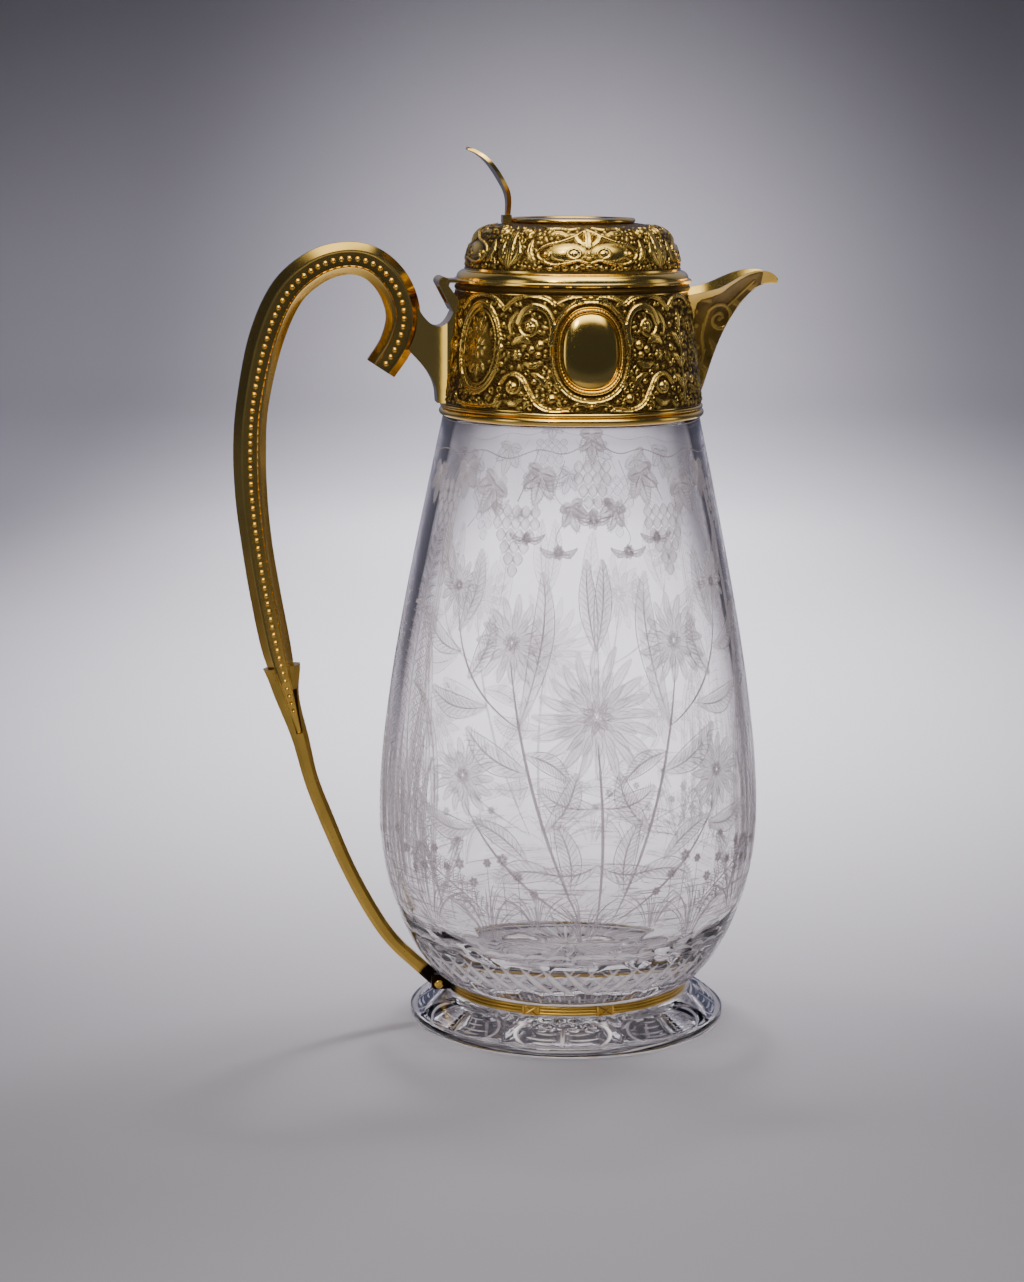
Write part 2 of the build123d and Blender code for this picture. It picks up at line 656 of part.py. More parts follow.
def make_thumbpiece(dome, disc):
    """Leaf that curls up and back from the rear edge of the disc."""
    low, high = dome_top - 1.2, dome_top + 1.4 + thumb_height
    root = -disc_radius - thumb_out
    h = high - low
    line = Spline(*xz([(root, low), (root + 0.5, low + 0.22 * h), (root + 0.2, low + 0.40 * h),
                       (root - 1.9, low + 0.58 * h), (root - 6.0, low + 0.81 * h), (root - 12.7, high - 0.6)]))
    half = thumb_thickness / 2
    count = 14
    front, back = [], []
    for i in range(count + 1):
        share = i / count
        p, t = line @ share, line % share
        side = Vector(t.Z, 0, -t.X) * (half * (1.15 - 0.45 * share))
        front.append(p + side)
        back.append(p - side)
    side_face = make_face([Spline(*front), Line(front[-1], back[-1]), Spline(*back), Line(back[0], front[0])])
    strip = slab(side_face, thumb_width)
    w = thumb_width / 2
    outline = Spline((0, 1.9, low - 1), (0, 2.1, low + 0.2 * h), (0, w * 0.95, low + 0.55 * h),
                     (0, w, low + 0.78 * h), (0, w * 0.45, high - 0.5), (0, 0, high + 0.2))
    mirrored = Spline((0, 0, high + 0.2), (0, -w * 0.45, high - 0.5), (0, -w, low + 0.78 * h),
                      (0, -w * 0.95, low + 0.55 * h), (0, -2.1, low + 0.2 * h), (0, -1.9, low - 1))
    leaf_face = make_face([outline, mirrored, Line((0, -1.9, low - 1), (0, 1.9, low - 1))])
    leaf = strip & extrude(leaf_face, amount=80, dir=(-1, 0, 0))
    foot = Pos(root, 0, dome_top + 0.6) * Box(2.8, 5.0, 3.4)
    thumb = leaf + foot
    return (thumb - dome - disc).solids().sort_by(SortBy.VOLUME)[-1]


# ---------------------------------------------------------------- parts
scroll = make_scroll()
lid_flange = make_lid_flange()
lid_dome = make_lid_dome()
lid_disc = make_lid_disc()

parts = {
    "glass_body": make_glass(),
    "neck_cement": make_cement(),
    "collar_base": make_collar_base(),
    "collar_band": make_collar(),
    "collar_rim": make_collar_rim(),
    "cartouche_front": make_cartouche(-1),
    "cartouche_rear": make_cartouche(1),
    "spout": make_spout(),
    "handle_scroll": scroll,
    "handle_beads_front": make_beads(-1),
    "handle_beads_rear": make_beads(1),
    "handle_tail": make_tail(scroll),
    "handle_bracket": make_bracket(scroll),
    "foot_ring": make_foot_ring(),
    "foot_pin": make_foot_pin(),
    "foot_pin_nut": make_foot_nut(),
    "hinge_ears": make_hinge_ears(),
    "hinge_pin": make_hinge_pin(),
    "hinge_finial": make_hinge_finial(),
    "lid_hinge_leaf": make_lid_leaf(),
    "lid_flange": lid_flange,
    "lid_bezel": make_lid_bezel(),
    "lid_dome": lid_dome,
    "lid_disc": lid_disc,
    "thumbpiece": make_thumbpiece(lid_dome, lid_disc),
}

os.makedirs("parts", exist_ok=True)
for name, shape in parts.items():
    export_step(shape, f"parts/{name}.step")
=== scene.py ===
"""Claret jug: a cut and engraved glass body in silver-gilt mounts, with a hinged lid.

Laid out as an add-on. Shapes are worked out with numpy in millimetres and put into meshes in metres. +Z is
up, +X is the spout, -X is the handle and -Y is the front.
"""

import math

import bpy
import numpy as np
from bpy.props import FloatProperty, FloatVectorProperty, IntProperty, PointerProperty
from mathutils import Matrix


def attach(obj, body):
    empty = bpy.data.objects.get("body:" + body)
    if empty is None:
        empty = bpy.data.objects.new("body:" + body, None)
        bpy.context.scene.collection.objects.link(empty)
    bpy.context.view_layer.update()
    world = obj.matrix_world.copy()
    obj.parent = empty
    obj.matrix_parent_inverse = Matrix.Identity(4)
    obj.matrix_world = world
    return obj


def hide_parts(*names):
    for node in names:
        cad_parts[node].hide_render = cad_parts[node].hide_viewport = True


bl_info = {
    "name": "Claret jug",
    "version": (1, 0, 0),
    "blender": (4, 5, 0),
    "location": "View3D > Sidebar > Claret jug",
    "description": "Dresses the claret jug's frame with chased gilding, cut glass and engraving",
    "category": "Add Mesh",
}

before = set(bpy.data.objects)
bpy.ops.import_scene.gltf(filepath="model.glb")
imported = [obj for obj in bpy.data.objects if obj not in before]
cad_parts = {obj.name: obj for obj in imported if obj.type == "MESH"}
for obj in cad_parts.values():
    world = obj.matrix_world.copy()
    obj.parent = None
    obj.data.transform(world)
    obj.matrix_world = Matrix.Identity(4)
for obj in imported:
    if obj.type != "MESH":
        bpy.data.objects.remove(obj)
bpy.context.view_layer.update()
MM = 0.001


# ---------------------------------------------------------------- settings
def length_setting(name, description, default, low, high):
    """Length in metres."""
    return FloatProperty(
        name=name, description=description, default=default, min=low, max=high, unit="LENGTH")


def angle_setting(name, description, default):
    """Angle in radians."""
    return FloatProperty(
        name=name, description=description, default=default, unit="ROTATION", subtype="ANGLE")


def colour_setting(name, description, default):
    """Linear colour."""
    return FloatVectorProperty(
        name=name, description=description, default=default, size=3, min=0.0, max=1.0, subtype="COLOR")


class JugSizes(bpy.types.PropertyGroup):
    """Sizes a user would change."""

    relief_depth: length_setting(
        "Relief depth", "Height of the chased ornament above its matted ground", 0.0009, 0.0, 0.002)
    petal_count: IntProperty(
        name="Foot petals", description="Number of scooped petals cut round the foot",
        default=8, min=3, max=24)
    petal_depth: length_setting("Petal depth", "Depth of the petals cut into the foot", 0.0015, 0.0, 0.002)
    star_points: IntProperty(
        name="Star points", description="Rays of the star cut under the foot", default=24, min=6, max=64)
    star_depth: length_setting("Star depth", "Depth of the star cut under the foot", 0.0012, 0.0, 0.003)
    stroke_width: length_setting(
        "Engraved stroke", "Greatest width of a fine engraved stroke", 0.00036, 0.0001, 0.002)
    ridge_height: length_setting(
        "Handle ridge", "Height of the fine ridges beside the handle's beads", 0.00045, 0.0, 0.001)
    camera_distance: length_setting(
        "Camera distance", "Level distance from the jug's axis to the camera", 0.936, 0.3, 3.0)
    camera_height: length_setting("Camera height", "Height of the camera above the floor", 0.289, 0.0, 2.0)
    camera_azimuth: angle_setting(
        "Camera azimuth", "Turn of the camera round the jug from the front", math.radians(-8.8))
    camera_tilt: angle_setting("Camera tilt", "How far the camera looks down", math.radians(9.9))
    camera_pan: angle_setting(
        "Camera pan", "How far the camera looks left of the jug's axis", math.atan(58 / 2900))
    camera_roll: angle_setting("Camera roll", "Lean of the picture", math.radians(0.3))
    lens: FloatProperty(
        name="Lens", description="Focal length on a 36 mm sensor, in millimetres",
        default=81.435, min=10, max=300)


class JugColours(bpy.types.PropertyGroup):
    """Colours a user would change."""

    gilding: colour_setting("Gilding", "Clean polished gilding", (0.89, 0.575, 0.115))
    # old gilding is the patina in the hollows, and also the colour of the painted shade on the collar's rim
    # and the lid's bezel
    old_gilding_and_shade: colour_setting(
        "Old gilding", "Gilding darkened in hollows and by age", (0.095, 0.053, 0.012))
    glass: colour_setting("Glass", "Tint of the clear glass", (1.0, 0.992, 0.995))
    # engraving and frosting also colour the painted dark streaks and pale glints of refraction on the foot
    # and round the base
    engraving: colour_setting("Engraving", "Matt strokes in the glass", (0.36, 0.31, 0.335))
    frosting: colour_setting("Frosting", "Broad frosted shapes in the glass", (0.97, 0.93, 0.955))
    plaster: colour_setting("Plaster", "Bed between neck and collar", (0.72, 0.68, 0.6))
    floor: colour_setting("Floor", "Pale floor and backdrop", (0.56, 0.54, 0.575))


# ---------------------------------------------------------------- meshes
def put_mesh(name, points, faces, body, replaces=(), attributes=None, sharp=32.0):
    """New piece riding on a body: points in mm, face index arrays (quads and triangles), values per point."""
    mesh = bpy.data.meshes.new(name)
    points = np.asarray(points, float).reshape(-1, 3) * MM
    loops = np.concatenate([f.reshape(-1) for f in faces]).astype(np.int32)
    sizes = np.concatenate([np.full(len(f), f.shape[1]) for f in faces])
    starts = np.concatenate([[0], np.cumsum(sizes)[:-1]]).astype(np.int32)
    mesh.vertices.add(len(points))
    mesh.vertices.foreach_set("co", points.astype(np.float32).reshape(-1))
    mesh.loops.add(len(loops))
    mesh.loops.foreach_set("vertex_index", loops)
    mesh.polygons.add(len(starts))
    mesh.polygons.foreach_set("loop_start", starts)
    mesh.update(calc_edges=True)
    mesh.validate()
    mesh.polygons.foreach_set("use_smooth", np.ones(len(mesh.polygons), bool))
    mesh.set_sharp_from_angle(angle=math.radians(sharp))
    for key, values in (attributes or {}).items():
        values = np.asarray(values, np.float32).reshape(-1)
        mesh.attributes.new(key, "FLOAT", "POINT").data.foreach_set("value", values)
    piece = bpy.data.objects.new(name, mesh)
    bpy.context.scene.collection.objects.link(piece)
    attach(piece, body)
    if replaces:
        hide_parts(*replaces)
    return piece


def join_rings(low, high, columns):
    """Quads between two rings of points, each given by the index it starts at."""
    j = np.arange(columns)
    k = (j + 1) % columns
    return np.stack([low + j, low + k, high + k, high + j], -1)


def fan(middle, ring, columns, flip=False):
    """Triangles between a middle point and a ring, given by the index it starts at."""
    j = np.arange(columns)
    k = (j + 1) % columns
    return np.stack([np.full(columns, middle), ring + (k if flip else j), ring + (j if flip else k)], -1)


def grid_faces(rows, columns, wrap=False, offset=0, flip=False):
    """Quads of a grid of rows x columns points; wrap joins the last column to the first."""
    i, j = np.meshgrid(np.arange(rows - 1), np.arange(columns if wrap else columns - 1), indexing="ij")
    k = (j + 1) % columns
    quads = np.stack([i * columns + j, i * columns + k, (i + 1) * columns + k, (i + 1) * columns + j], -1)
    quads = quads.reshape(-1, 4) + offset
    return quads[:, ::-1] if flip else quads


def closed_grid(grid, first=None, last=None):
    """Points and faces of a grid (rows, columns, 3) that closes round its columns, with a point at an end."""
    rows, columns = grid.shape[:2]
    points = [grid.reshape(-1, 3)]
    faces = [grid_faces(rows, columns, wrap=True)]
    count = rows * columns
    for point, ring in ((first, 0), (last, (rows - 1) * columns)):
        if point is not None:
            points.append(np.reshape(point, (1, 3)))
            faces.append(fan(count, ring, columns, flip=ring == 0))
            count += 1
    return np.vstack(points), faces


def drop_unused(points, faces, values):
    """Points, faces and values without the points that no face uses."""
    used = np.unique(faces)
    renumber = np.full(len(points), -1)
    renumber[used] = np.arange(len(used))
    return points[used], renumber[faces], values.reshape(-1)[used]


def smooth_path(points, count, start=None, end=None):
    """Cubic through points with a speed at each: half the way between its neighbours, or a given one."""
    p = np.asarray(points, float)
    m = np.empty_like(p)
    m[1:-1] = (p[2:] - p[:-2]) / 2
    m[0] = p[1] - p[0] if start is None else start
    m[-1] = p[-1] - p[-2] if end is None else end
    t = np.linspace(0, len(p) - 1, count)
    i = np.minimum(t.astype(int), len(p) - 2)
    f = (t - i)[:, None]
    return ((2 * f**3 - 3 * f**2 + 1) * p[i] + (f**3 - 2 * f**2 + f) * m[i]
            + (3 * f**2 - 2 * f**3) * p[i + 1] + (f**3 - f**2) * m[i + 1])


def bezier(a, b, c, d, count):
    """Cubic Bezier curve: four points weighted by the Bernstein polynomials."""
    t = np.linspace(0, 1, count)[:, None]
    a, b, c, d = (np.asarray(x, float) for x in (a, b, c, d))
    return (1 - t) ** 3 * a + 3 * (1 - t) ** 2 * t * b + 3 * (1 - t) * t**2 * c + t**3 * d


def step(x, low, high):
    """Smooth rise from 0 at low to 1 at high."""
    t = np.clip((x - low) / (high - low), 0, 1)
    return t * t * (3 - 2 * t)


def run_along(line):
    """Length of a polyline from its start to each of its points."""
    return np.concatenate([[0], np.cumsum(np.hypot(*np.diff(line, axis=0).T))])


def unit_tangent(line):
    """Unit heading of a polyline at each of its points."""
    tangent = np.gradient(line, axis=0)
    return tangent / np.hypot(*tangent.T)[:, None]


def left_of(d):
    """Vectors in a plane turned a quarter turn to the left."""
    return np.stack([-d[..., 1], d[..., 0]], -1)


def heading(a):
    """Unit vectors at an angle."""
    return np.stack([np.cos(a), np.sin(a)], -1)


# ---------------------------------------------------------------- chased relief
def fillet(x, height, double):
    """Height across a band with rounded edges at x = 1; double sinks a groove along its middle."""
    body = height * (1 - step(x, 0.72, 1.0))
    return body - 0.4 * height * (1 - step(x, 0.2, 0.5)) if double else body


class Relief:
    """Height of chased ornament over a flat grid of u (along) and v (up), in mm.

    Each feature is a height that falls off with the distance from its line or centre; the highest one wins.
    """

    def __init__(self, u, v):
        self.u, self.v = u, v
        self.height = np.zeros((len(v), len(u)))

    def window(self, low, high):
        """Slices of the grid that cover a rectangle, and the coordinates in it."""
        i = slice(*np.searchsorted(self.v, (low[1], high[1])))
        j = slice(*np.searchsorted(self.u, (low[0], high[0])))
        return i, j, self.u[None, j], self.v[i, None]

    def around(self, centre, reach):
        """Slices of the grid near a centre, and the distances u and v from it."""
        c = np.asarray(centre, float)
        i, j, u, v = self.window(c - reach, c + reach)
        return i, j, u - c[0], v - c[1]

    def raise_to(self, i, j, height):
        self.height[i, j] = np.maximum(self.height[i, j], height)

    def near(self, line, reach):
        """Distance to a polyline and share of its length at the nearest point, within reach."""
        line = np.asarray(line, float)
        i, j, u, v = self.window(line.min(0) - reach, line.max(0) + reach)
        best = np.full((v.shape[0], u.shape[1]), 1e9)
        along = np.zeros_like(best)
        lengths = np.hypot(*np.diff(line, axis=0).T)
        total, run = lengths.sum(), 0.0
        for a, b, length in zip(line[:-1], line[1:], lengths):
            if length < 1e-9:
                continue
            d = (b - a) / length
            t = np.clip((u - a[0]) * d[0] + (v - a[1]) * d[1], 0, length)
            gap = np.hypot(u - a[0] - t * d[0], v - a[1] - t * d[1])
            closer = gap < best
            best = np.where(closer, gap, best)
            along = np.where(closer, (run + t) / total, along)
            run += length
        return i, j, best, along

    def strap(self, line, width, height=0.7, double=True, taper=0.0):
        """Flat band with rounded edges along a line; double makes it two fillets with a groove between."""
        i, j, gap, along = self.near(line, width)
        half = width / 2 * (1 - taper * along)
        self.raise_to(i, j, fillet(gap / np.maximum(half, 1e-3), height, double))

    def bead(self, centre, radius, height=None):
        """Half ball."""
        i, j, u, v = self.around(centre, radius)
        x = np.hypot(u, v) / radius
        self.raise_to(i, j, (height or radius * 0.75) * np.sqrt(np.clip(1 - x * x, 0, 1)))

    def leaf(self, line, width, height, lobes):
        """Pointed leaf along a line: rounded across, scalloped at its edge, with a sunk midrib."""
        i, j, gap, along = self.near(line, width)
        half = width / 2 * np.sin(np.pi * np.clip(along * 0.92 + 0.08, 0, 1)) ** 0.7
        half = half * (1 - 0.22 * (0.5 + 0.5 * np.cos(2 * np.pi * lobes * along)))
        x = gap / np.maximum(half, 1e-3)
        body = height * np.sqrt(np.clip(1 - x * x, 0, 1)) * (0.6 + 0.4 * np.sin(np.pi * along))
        midrib = 0.3 * height * np.exp(-((gap / (0.12 * width)) ** 2)) * (x < 1)
        self.raise_to(i, j, body - midrib)

    def oval(self, centre, half_u, half_v, width, height=0.7, power=2.0, double=True):
        """Ring along the oval |u/a|^p + |v/b|^p = 1."""
        i, j, u, v = self.around(centre, (half_u + width, half_v + width))
        level = (np.abs(u / half_u) ** power + np.abs(v / half_v) ** power) ** (1 / power)
        x = np.abs(level - 1) * min(half_u, half_v) / (width / 2)
        self.raise_to(i, j, fillet(x, height, double))

    def dome(self, centre, half_u, half_v, height):
        """Low oval swelling."""
        i, j, u, v = self.around(centre, (half_u, half_v))
        x = np.hypot(u / half_u, v / half_v)
        self.raise_to(i, j, height * np.clip(1 - x * x, 0, 1))

    def rosette(self, centre, radius, petals, height):
        """Flower: petals round a bead, their outline a cosine of the angle."""
        i, j, u, v = self.around(centre, radius)
        wave = np.abs(np.cos(petals * np.arctan2(v, u) / 2))
        x = np.hypot(u, v) / (radius * (0.72 + 0.28 * wave))
        fold = 0.25 * (1 - wave)
        self.raise_to(i, j, height * (np.sqrt(np.clip(1 - x * x, 0, 1)) * (1 - fold)) * (0.75 + 0.25 * x))
        self.bead(centre, radius * 0.26, height)

    def leaves(self, side, *rows, count=12):
        """Leaves: each row is points, width, height and lobes. Side -1 draws them across u = 0."""
        for line, width, height, lobes in rows:
            self.leaf(smooth_path(np.multiply(line, (side, 1)), count), width, height, lobes)

    def straps(self, side, *rows):
        """Bands: each row is points, steps, width, height and double."""
        for line, count, width, height, double in rows:
            self.strap(smooth_path(np.multiply(line, (side, 1)), count), width, height, double)

    def beads(self, side, *rows):
        """Half balls: each row is u, v, radius and height."""
        for u, v, radius, height in rows:
            self.bead((side * u, v), radius, height)

    def curl(self, spiral, width, height):
        """Narrow band along a spiral, which is given as the arguments of volute."""
        self.strap(volute(*spiral), width, height, double=False)


TAKEN = 0.12  # height from which the ground counts as covered


def fill_ground(relief, seed, pitch, low, high, bare=lambda u, v: False):
    """Sprinkles the bare ground with small leaves, curls and berries, alike on both sides of u = 0."""
    rng = np.random.default_rng(seed)
    for v0 in np.arange(low[1], high[1], pitch):
        for u0 in np.arange(low[0], high[0], pitch):
            u1, v1 = u0 + rng.uniform(-0.25, 0.25) * pitch, v0 + rng.uniform(-0.25, 0.25) * pitch
            angle, kind = rng.uniform(0, 2 * np.pi), rng.uniform()
            i, j = relief.window((u1 - 0.6, v1 - 0.6), (u1 + 0.6, v1 + 0.6))[:2]
            under = relief.height[i, j]
            if under.size == 0 or under.max() > TAKEN or bare(u1, v1):
                continue
            d = heading(angle)
            n = left_of(d)
            for side in (1, -1):
                flip = np.array([side, 1.0])
                c = np.array([side * u1, v1])
                if kind < 0.5:
                    line = np.array([c - flip * d * 1.1, c + flip * n * 0.35, c + flip * d * 1.2])
                    relief.leaf(line, 1.3, 0.6, 3)
                elif kind < 0.75:
                    relief.bead(c, 0.55, 0.5)
                else:
                    start = angle if side > 0 else np.pi - angle
                    relief.curl((c, 0.95, start, side * 0.9, 0.4, 12), 0.45, 0.5)


def volute(centre, radius, start, turns, end_radius=0.25, count=30):
    """Spiral line: the radius shrinks evenly from radius to end_radius of it while the angle runs."""
    t = np.linspace(0, 1, count)
    a = start + turns * 2 * np.pi * t
    r = radius * (1 - (1 - end_radius) * t)
    return np.asarray(centre) + r[:, None] * heading(a)


# ---------------------------------------------------------------- the jug's own forms, in mm
BELLY = (62.2, 70.0)
BODY_TOP = (41.5, 200.2)
GLASS_INSET = 0.075  # room for the engraving inside the body's own outline
WAIST = 14.5
CAVITY_RADIUS, CAVITY_FLOOR = 58.2, 20.4
COLLAR_LOW, COLLAR_TOP = 204.4, 240.4
COLLAR_FOOT_RADIUS, COLLAR_TOP_RADIUS = 41.9, 37.5
COLLAR_MEAN_RADIUS = 39.7
CARTOUCHE_RISE = 19.0
FRONT, REAR = 0.0, math.pi


def body_outline(count_low, count_high):
    """Outside of the glass body, (radius, z) from waist to top: two Bezier curves that meet at the belly."""
    low = bezier((40.4, 13.8), (48.5, 17.5), (62.2, 40.0), BELLY, count_low)
    high = bezier(BELLY, (62.2, 106.0), (49.9, 160.2), BODY_TOP, count_high)
    return np.vstack([low, high[1:]])


BODY = body_outline(400, 400)


def body_radius(z):
    return np.interp(z, BODY[:, 1], BODY[:, 0])


def collar_radius(z):
    """Radius of the collar's cone at a height."""
    share = (z - COLLAR_LOW) / (COLLAR_TOP - COLLAR_LOW)
    return COLLAR_FOOT_RADIUS + share * (COLLAR_TOP_RADIUS - COLLAR_FOOT_RADIUS)


def on_wall(angle, z, radius):
    """Points at an angle from the front, towards the spout, on a round wall."""
    return np.stack([radius * np.sin(angle), -radius * np.cos(angle), z + 0 * angle], -1)


def turned(profile, sides):
    """Grid of a (radius, z) profile turned round the axis."""
    angle = np.linspace(0, 2 * np.pi, sides, endpoint=False)
    r, z, a = np.broadcast_arrays(profile[:, :1], profile[:, 1:], angle[None])
    return on_wall(a, z, r)


# ---------------------------------------------------------------- glass
FOOT_SLOPE = smooth_path([(51.2, 3.9), (46.35, 7.4), (41.2, 10.4)], 26)
FOOT_TURN = math.radians(-10)
FOOT_MEAN_RADIUS = 46.5
LEAF_CUT_HEIGHT, PRINT_HEIGHT = 24.0, 38.0


def foot_cuts(angle, r, z, sizes):
    """Depth of the cuts on the foot's upper side and round the body's base, at points of the outside.

    The petals are scoops: a parabola across each petal's width, faded in and out along the slope.
    The body's base has slanting leaf cuts whose depth is a narrow valley across each leaf.
    """
    count = sizes.petal_count
    phase = ((angle - FOOT_TURN) * count / (2 * np.pi) + 0.5) % 1 - 0.5
    on_foot = step(z, 3.2, 4.6) * (1 - step(z, 9.6, 10.3)) * (r > 41)
    across = 2 * phase
    slope = np.clip((z - 3.6) / 6.4, 0, 1)
    arch = np.clip(1 - across**2 / np.clip(1.0 - 0.55 * slope**2, 0.2, 1), 0, 1)
    petals = sizes.petal_depth / MM * on_foot * (np.sqrt(arch) - 0.12)
    turns = angle * 2 * count / (2 * np.pi)
    s = (z - LEAF_CUT_HEIGHT) / 8.0
    lean = (turns + 0.16 * s + 0.5) % 1 - 0.5
    width = 0.34 * np.sqrt(np.clip(1 - s * s, 0, 1))
    valley = np.clip(1 - np.abs(lean) / np.maximum(width, 1e-3), 0, 1)
    leaves = 0.55 * valley * (np.abs(s) < 1) * (z > WAIST)
    t = (z - PRINT_HEIGHT) / 3.6
    scoop = np.clip(1 - (((turns + 0.5) % 1 - 0.5) / 0.36) ** 2 - t * t, 0, 1)
    prints = 0.5 * np.sqrt(scoop) * (np.abs(t) < 1)
    return petals + leaves + prints


def make_glass(sizes):
    """Closed glass shell: outside with its cuts, neck, inside and the star under the foot.

    The profile is turned round the axis. The outside is pushed in by the depth of the cuts, and the underside
    is pushed up by the star: a triangle wave of the angle that fades towards the middle and the edge.
    """
    segments = 384
    under = np.stack([np.linspace(2.0, 50.6, 22), np.zeros(22)], -1)
    rim = np.array([
        (51.2, 0.0), (51.75, 0.25), (52.0, 0.8), (52.0, 2.0), (52.0, 3.2), (51.85, 3.6), (51.2, 3.9)])
    slope = FOOT_SLOPE[1:]
    seat = np.array([
        (40.0, 10.4), (38.5, 10.4), (38.2, 10.7), (38.2, 12.0), (38.2, 13.5), (38.5, 13.8), (39.6, 13.8)])
    body = body_outline(74, 46)
    lip = np.array([
        (41.2, 200.2), (38.0, 200.2), (37.6, 200.6), (37.6, 206.0), (37.6, 212.2), (37.07, 213.5),
        (35.8, 214.0), (34.5, 213.5), (34.0, 212.2), (34.0, 208.0), (34.0, 204.7)])
    throat = bezier((34.0, 204.7), (34.0, 202.3), (37.08, 200.4), (37.5, 198.4), 6)[1:]
    belly = (CAVITY_RADIUS, BELLY[1])
    inside_high = bezier(belly, (CAVITY_RADIUS, 106.0), (45.9, 158.4), (37.5, 198.4), 22)[::-1][1:]
    inside_low = cavity_floor()[::-1][1:]
    floor = np.array([(16.0, CAVITY_FLOOR), (9.0, CAVITY_FLOOR), (3.0, CAVITY_FLOOR)])
    outside = np.vstack([under, rim, slope, seat, body])
    profile = np.vstack([outside, lip, throat, inside_high, inside_low, floor])
    outer = len(outside)
    angle = np.linspace(0, 2 * np.pi, segments, endpoint=False) + FOOT_TURN
    r = np.repeat(profile[:, :1], segments, 1)
    z = np.repeat(profile[:, 1:], segments, 1)
    a = np.repeat(angle[None], len(profile), 0)
    cut = foot_cuts(a[:outer], r[:outer], z[:outer], sizes)
    tangent = unit_tangent(profile[:outer])
    r[:outer] -= cut * tangent[:, 1:] + GLASS_INSET * (z[:outer] > WAIST)
    z[:outer] += cut * tangent[:, :1]
    n = len(under)
    wave = np.abs((a[:n] * sizes.star_points / (2 * np.pi)) % 1 - 0.5) * 2
    fade = step(r[:n], 1.0, 8.0) * (1 - step(r[:n], 26.0, 33.0))
    z[:n] += sizes.star_depth / MM * (1 - wave) * fade
    points, faces = closed_grid(on_wall(a, z, r), first=(0, 0, 0), last=(0, 0, CAVITY_FLOOR))
    return put_mesh("glass_body_cut", points, faces, "jug", ["glass_body"], sharp=60)


# ---------------------------------------------------------------- engraving
def on_arc(p0, p1, p2, t):
    """Points of a quadratic Bezier curve, with the unit heading and the unit normal at each."""
    root = (1 - t) ** 2 * p0 + 2 * t * (1 - t) * p1 + t * t * p2
    along = 2 * (1 - t) * (p1 - p0) + 2 * t * (p2 - p1)
    along /= np.hypot(*along.T)[:, None]
    return root, along, left_of(along)


FROST_LIFT, STROKE_LIFT = 0.026, 0.040


class Strokes:
    """Wheel-cut strokes drawn on the unrolled body: s along the belly and z up, in mm."""

    def __init__(self, steps, columns, frost):
        self.steps, self.columns, self.frost = steps, columns, frost
        self.lines, self.widths, self.tones = [], [], []

    def add(self, p0, p1, p2, width, tone=1.0):
        """Strokes, each a quadratic Bezier curve; arrays of points add many at once."""
        p0, p1, p2 = np.broadcast_arrays(np.atleast_2d(p0), np.atleast_2d(p1), np.atleast_2d(p2))
        self.lines.append(np.stack([p0, p1, p2], 1).astype(float))
        self.widths.append(np.broadcast_to(width, len(p0)).astype(float))
        self.tones.append(np.broadcast_to(tone, len(p0)).astype(float))

    def mirror(self):
        """Adds every stroke again on the other side of s = 0."""
        self.lines += [line * np.array([-1.0, 1.0]) for line in self.lines]
        self.widths += list(self.widths)
        self.tones += list(self.tones)

    def ribbons(self, rng):
        """Ribbons with pointed ends: each curve is offset sideways by w sin(pi t)^0.6."""
        lines = np.concatenate(self.lines)
        t = np.linspace(0, 1, self.steps)[None, :, None]
        p0, p1, p2 = (lines[:, k][:, None] for k in range(3))
        centre = (1 - t) ** 2 * p0 + 2 * t * (1 - t) * p1 + t * t * p2
        along = np.gradient(centre, axis=1)
        along /= np.maximum(np.hypot(along[..., 0], along[..., 1]), 1e-9)[..., None]
        side = left_of(along)
        half = np.concatenate(self.widths)[:, None, None] / 2 * np.sin(np.pi * (0.04 + 0.92 * t)) ** 0.6
        share = np.linspace(0, 1, self.columns)
        flat = centre[:, :, None] + (side * half)[:, :, None] * (2 * share - 1)[None, None, :, None]
        n = len(lines)
        starts = np.arange(n)[:, None, None] * self.steps * self.columns
        quads = np.roll(grid_faces(self.steps, self.columns, flip=True), 1, 1)
        quads = (quads + starts).reshape(-1, 4)
        shape = (n, self.steps, self.columns)
        across = np.broadcast_to(share, shape).reshape(-1)
        tone = np.broadcast_to(np.concatenate(self.tones)[:, None, None], shape).reshape(-1)
        lift = np.broadcast_to(rng.uniform(0.0, 0.012, n)[:, None, None], shape).reshape(-1)
        lift = lift + (FROST_LIFT if self.frost else STROKE_LIFT)
        return flat.reshape(-1, 2), quads, across, tone, lift, np.full(across.shape, float(self.frost))


def merge_ribbons(parts):
    """Joins sets of ribbons: flat points, faces, share across, tone, lift and frosting."""
    starts = np.cumsum([0] + [len(part[0]) for part in parts])
    parts = [(flat, quads + start, *rest) for (flat, quads, *rest), start in zip(parts, starts)]
    return [np.concatenate(column) for column in zip(*parts)]


def put_strokes(name, points, quads, across, tone, frost):
    """New piece of engraved strokes on the glass."""
    return put_mesh(name, points, [quads], "jug",
                    attributes={"across": across, "tone": tone, "frost": frost})


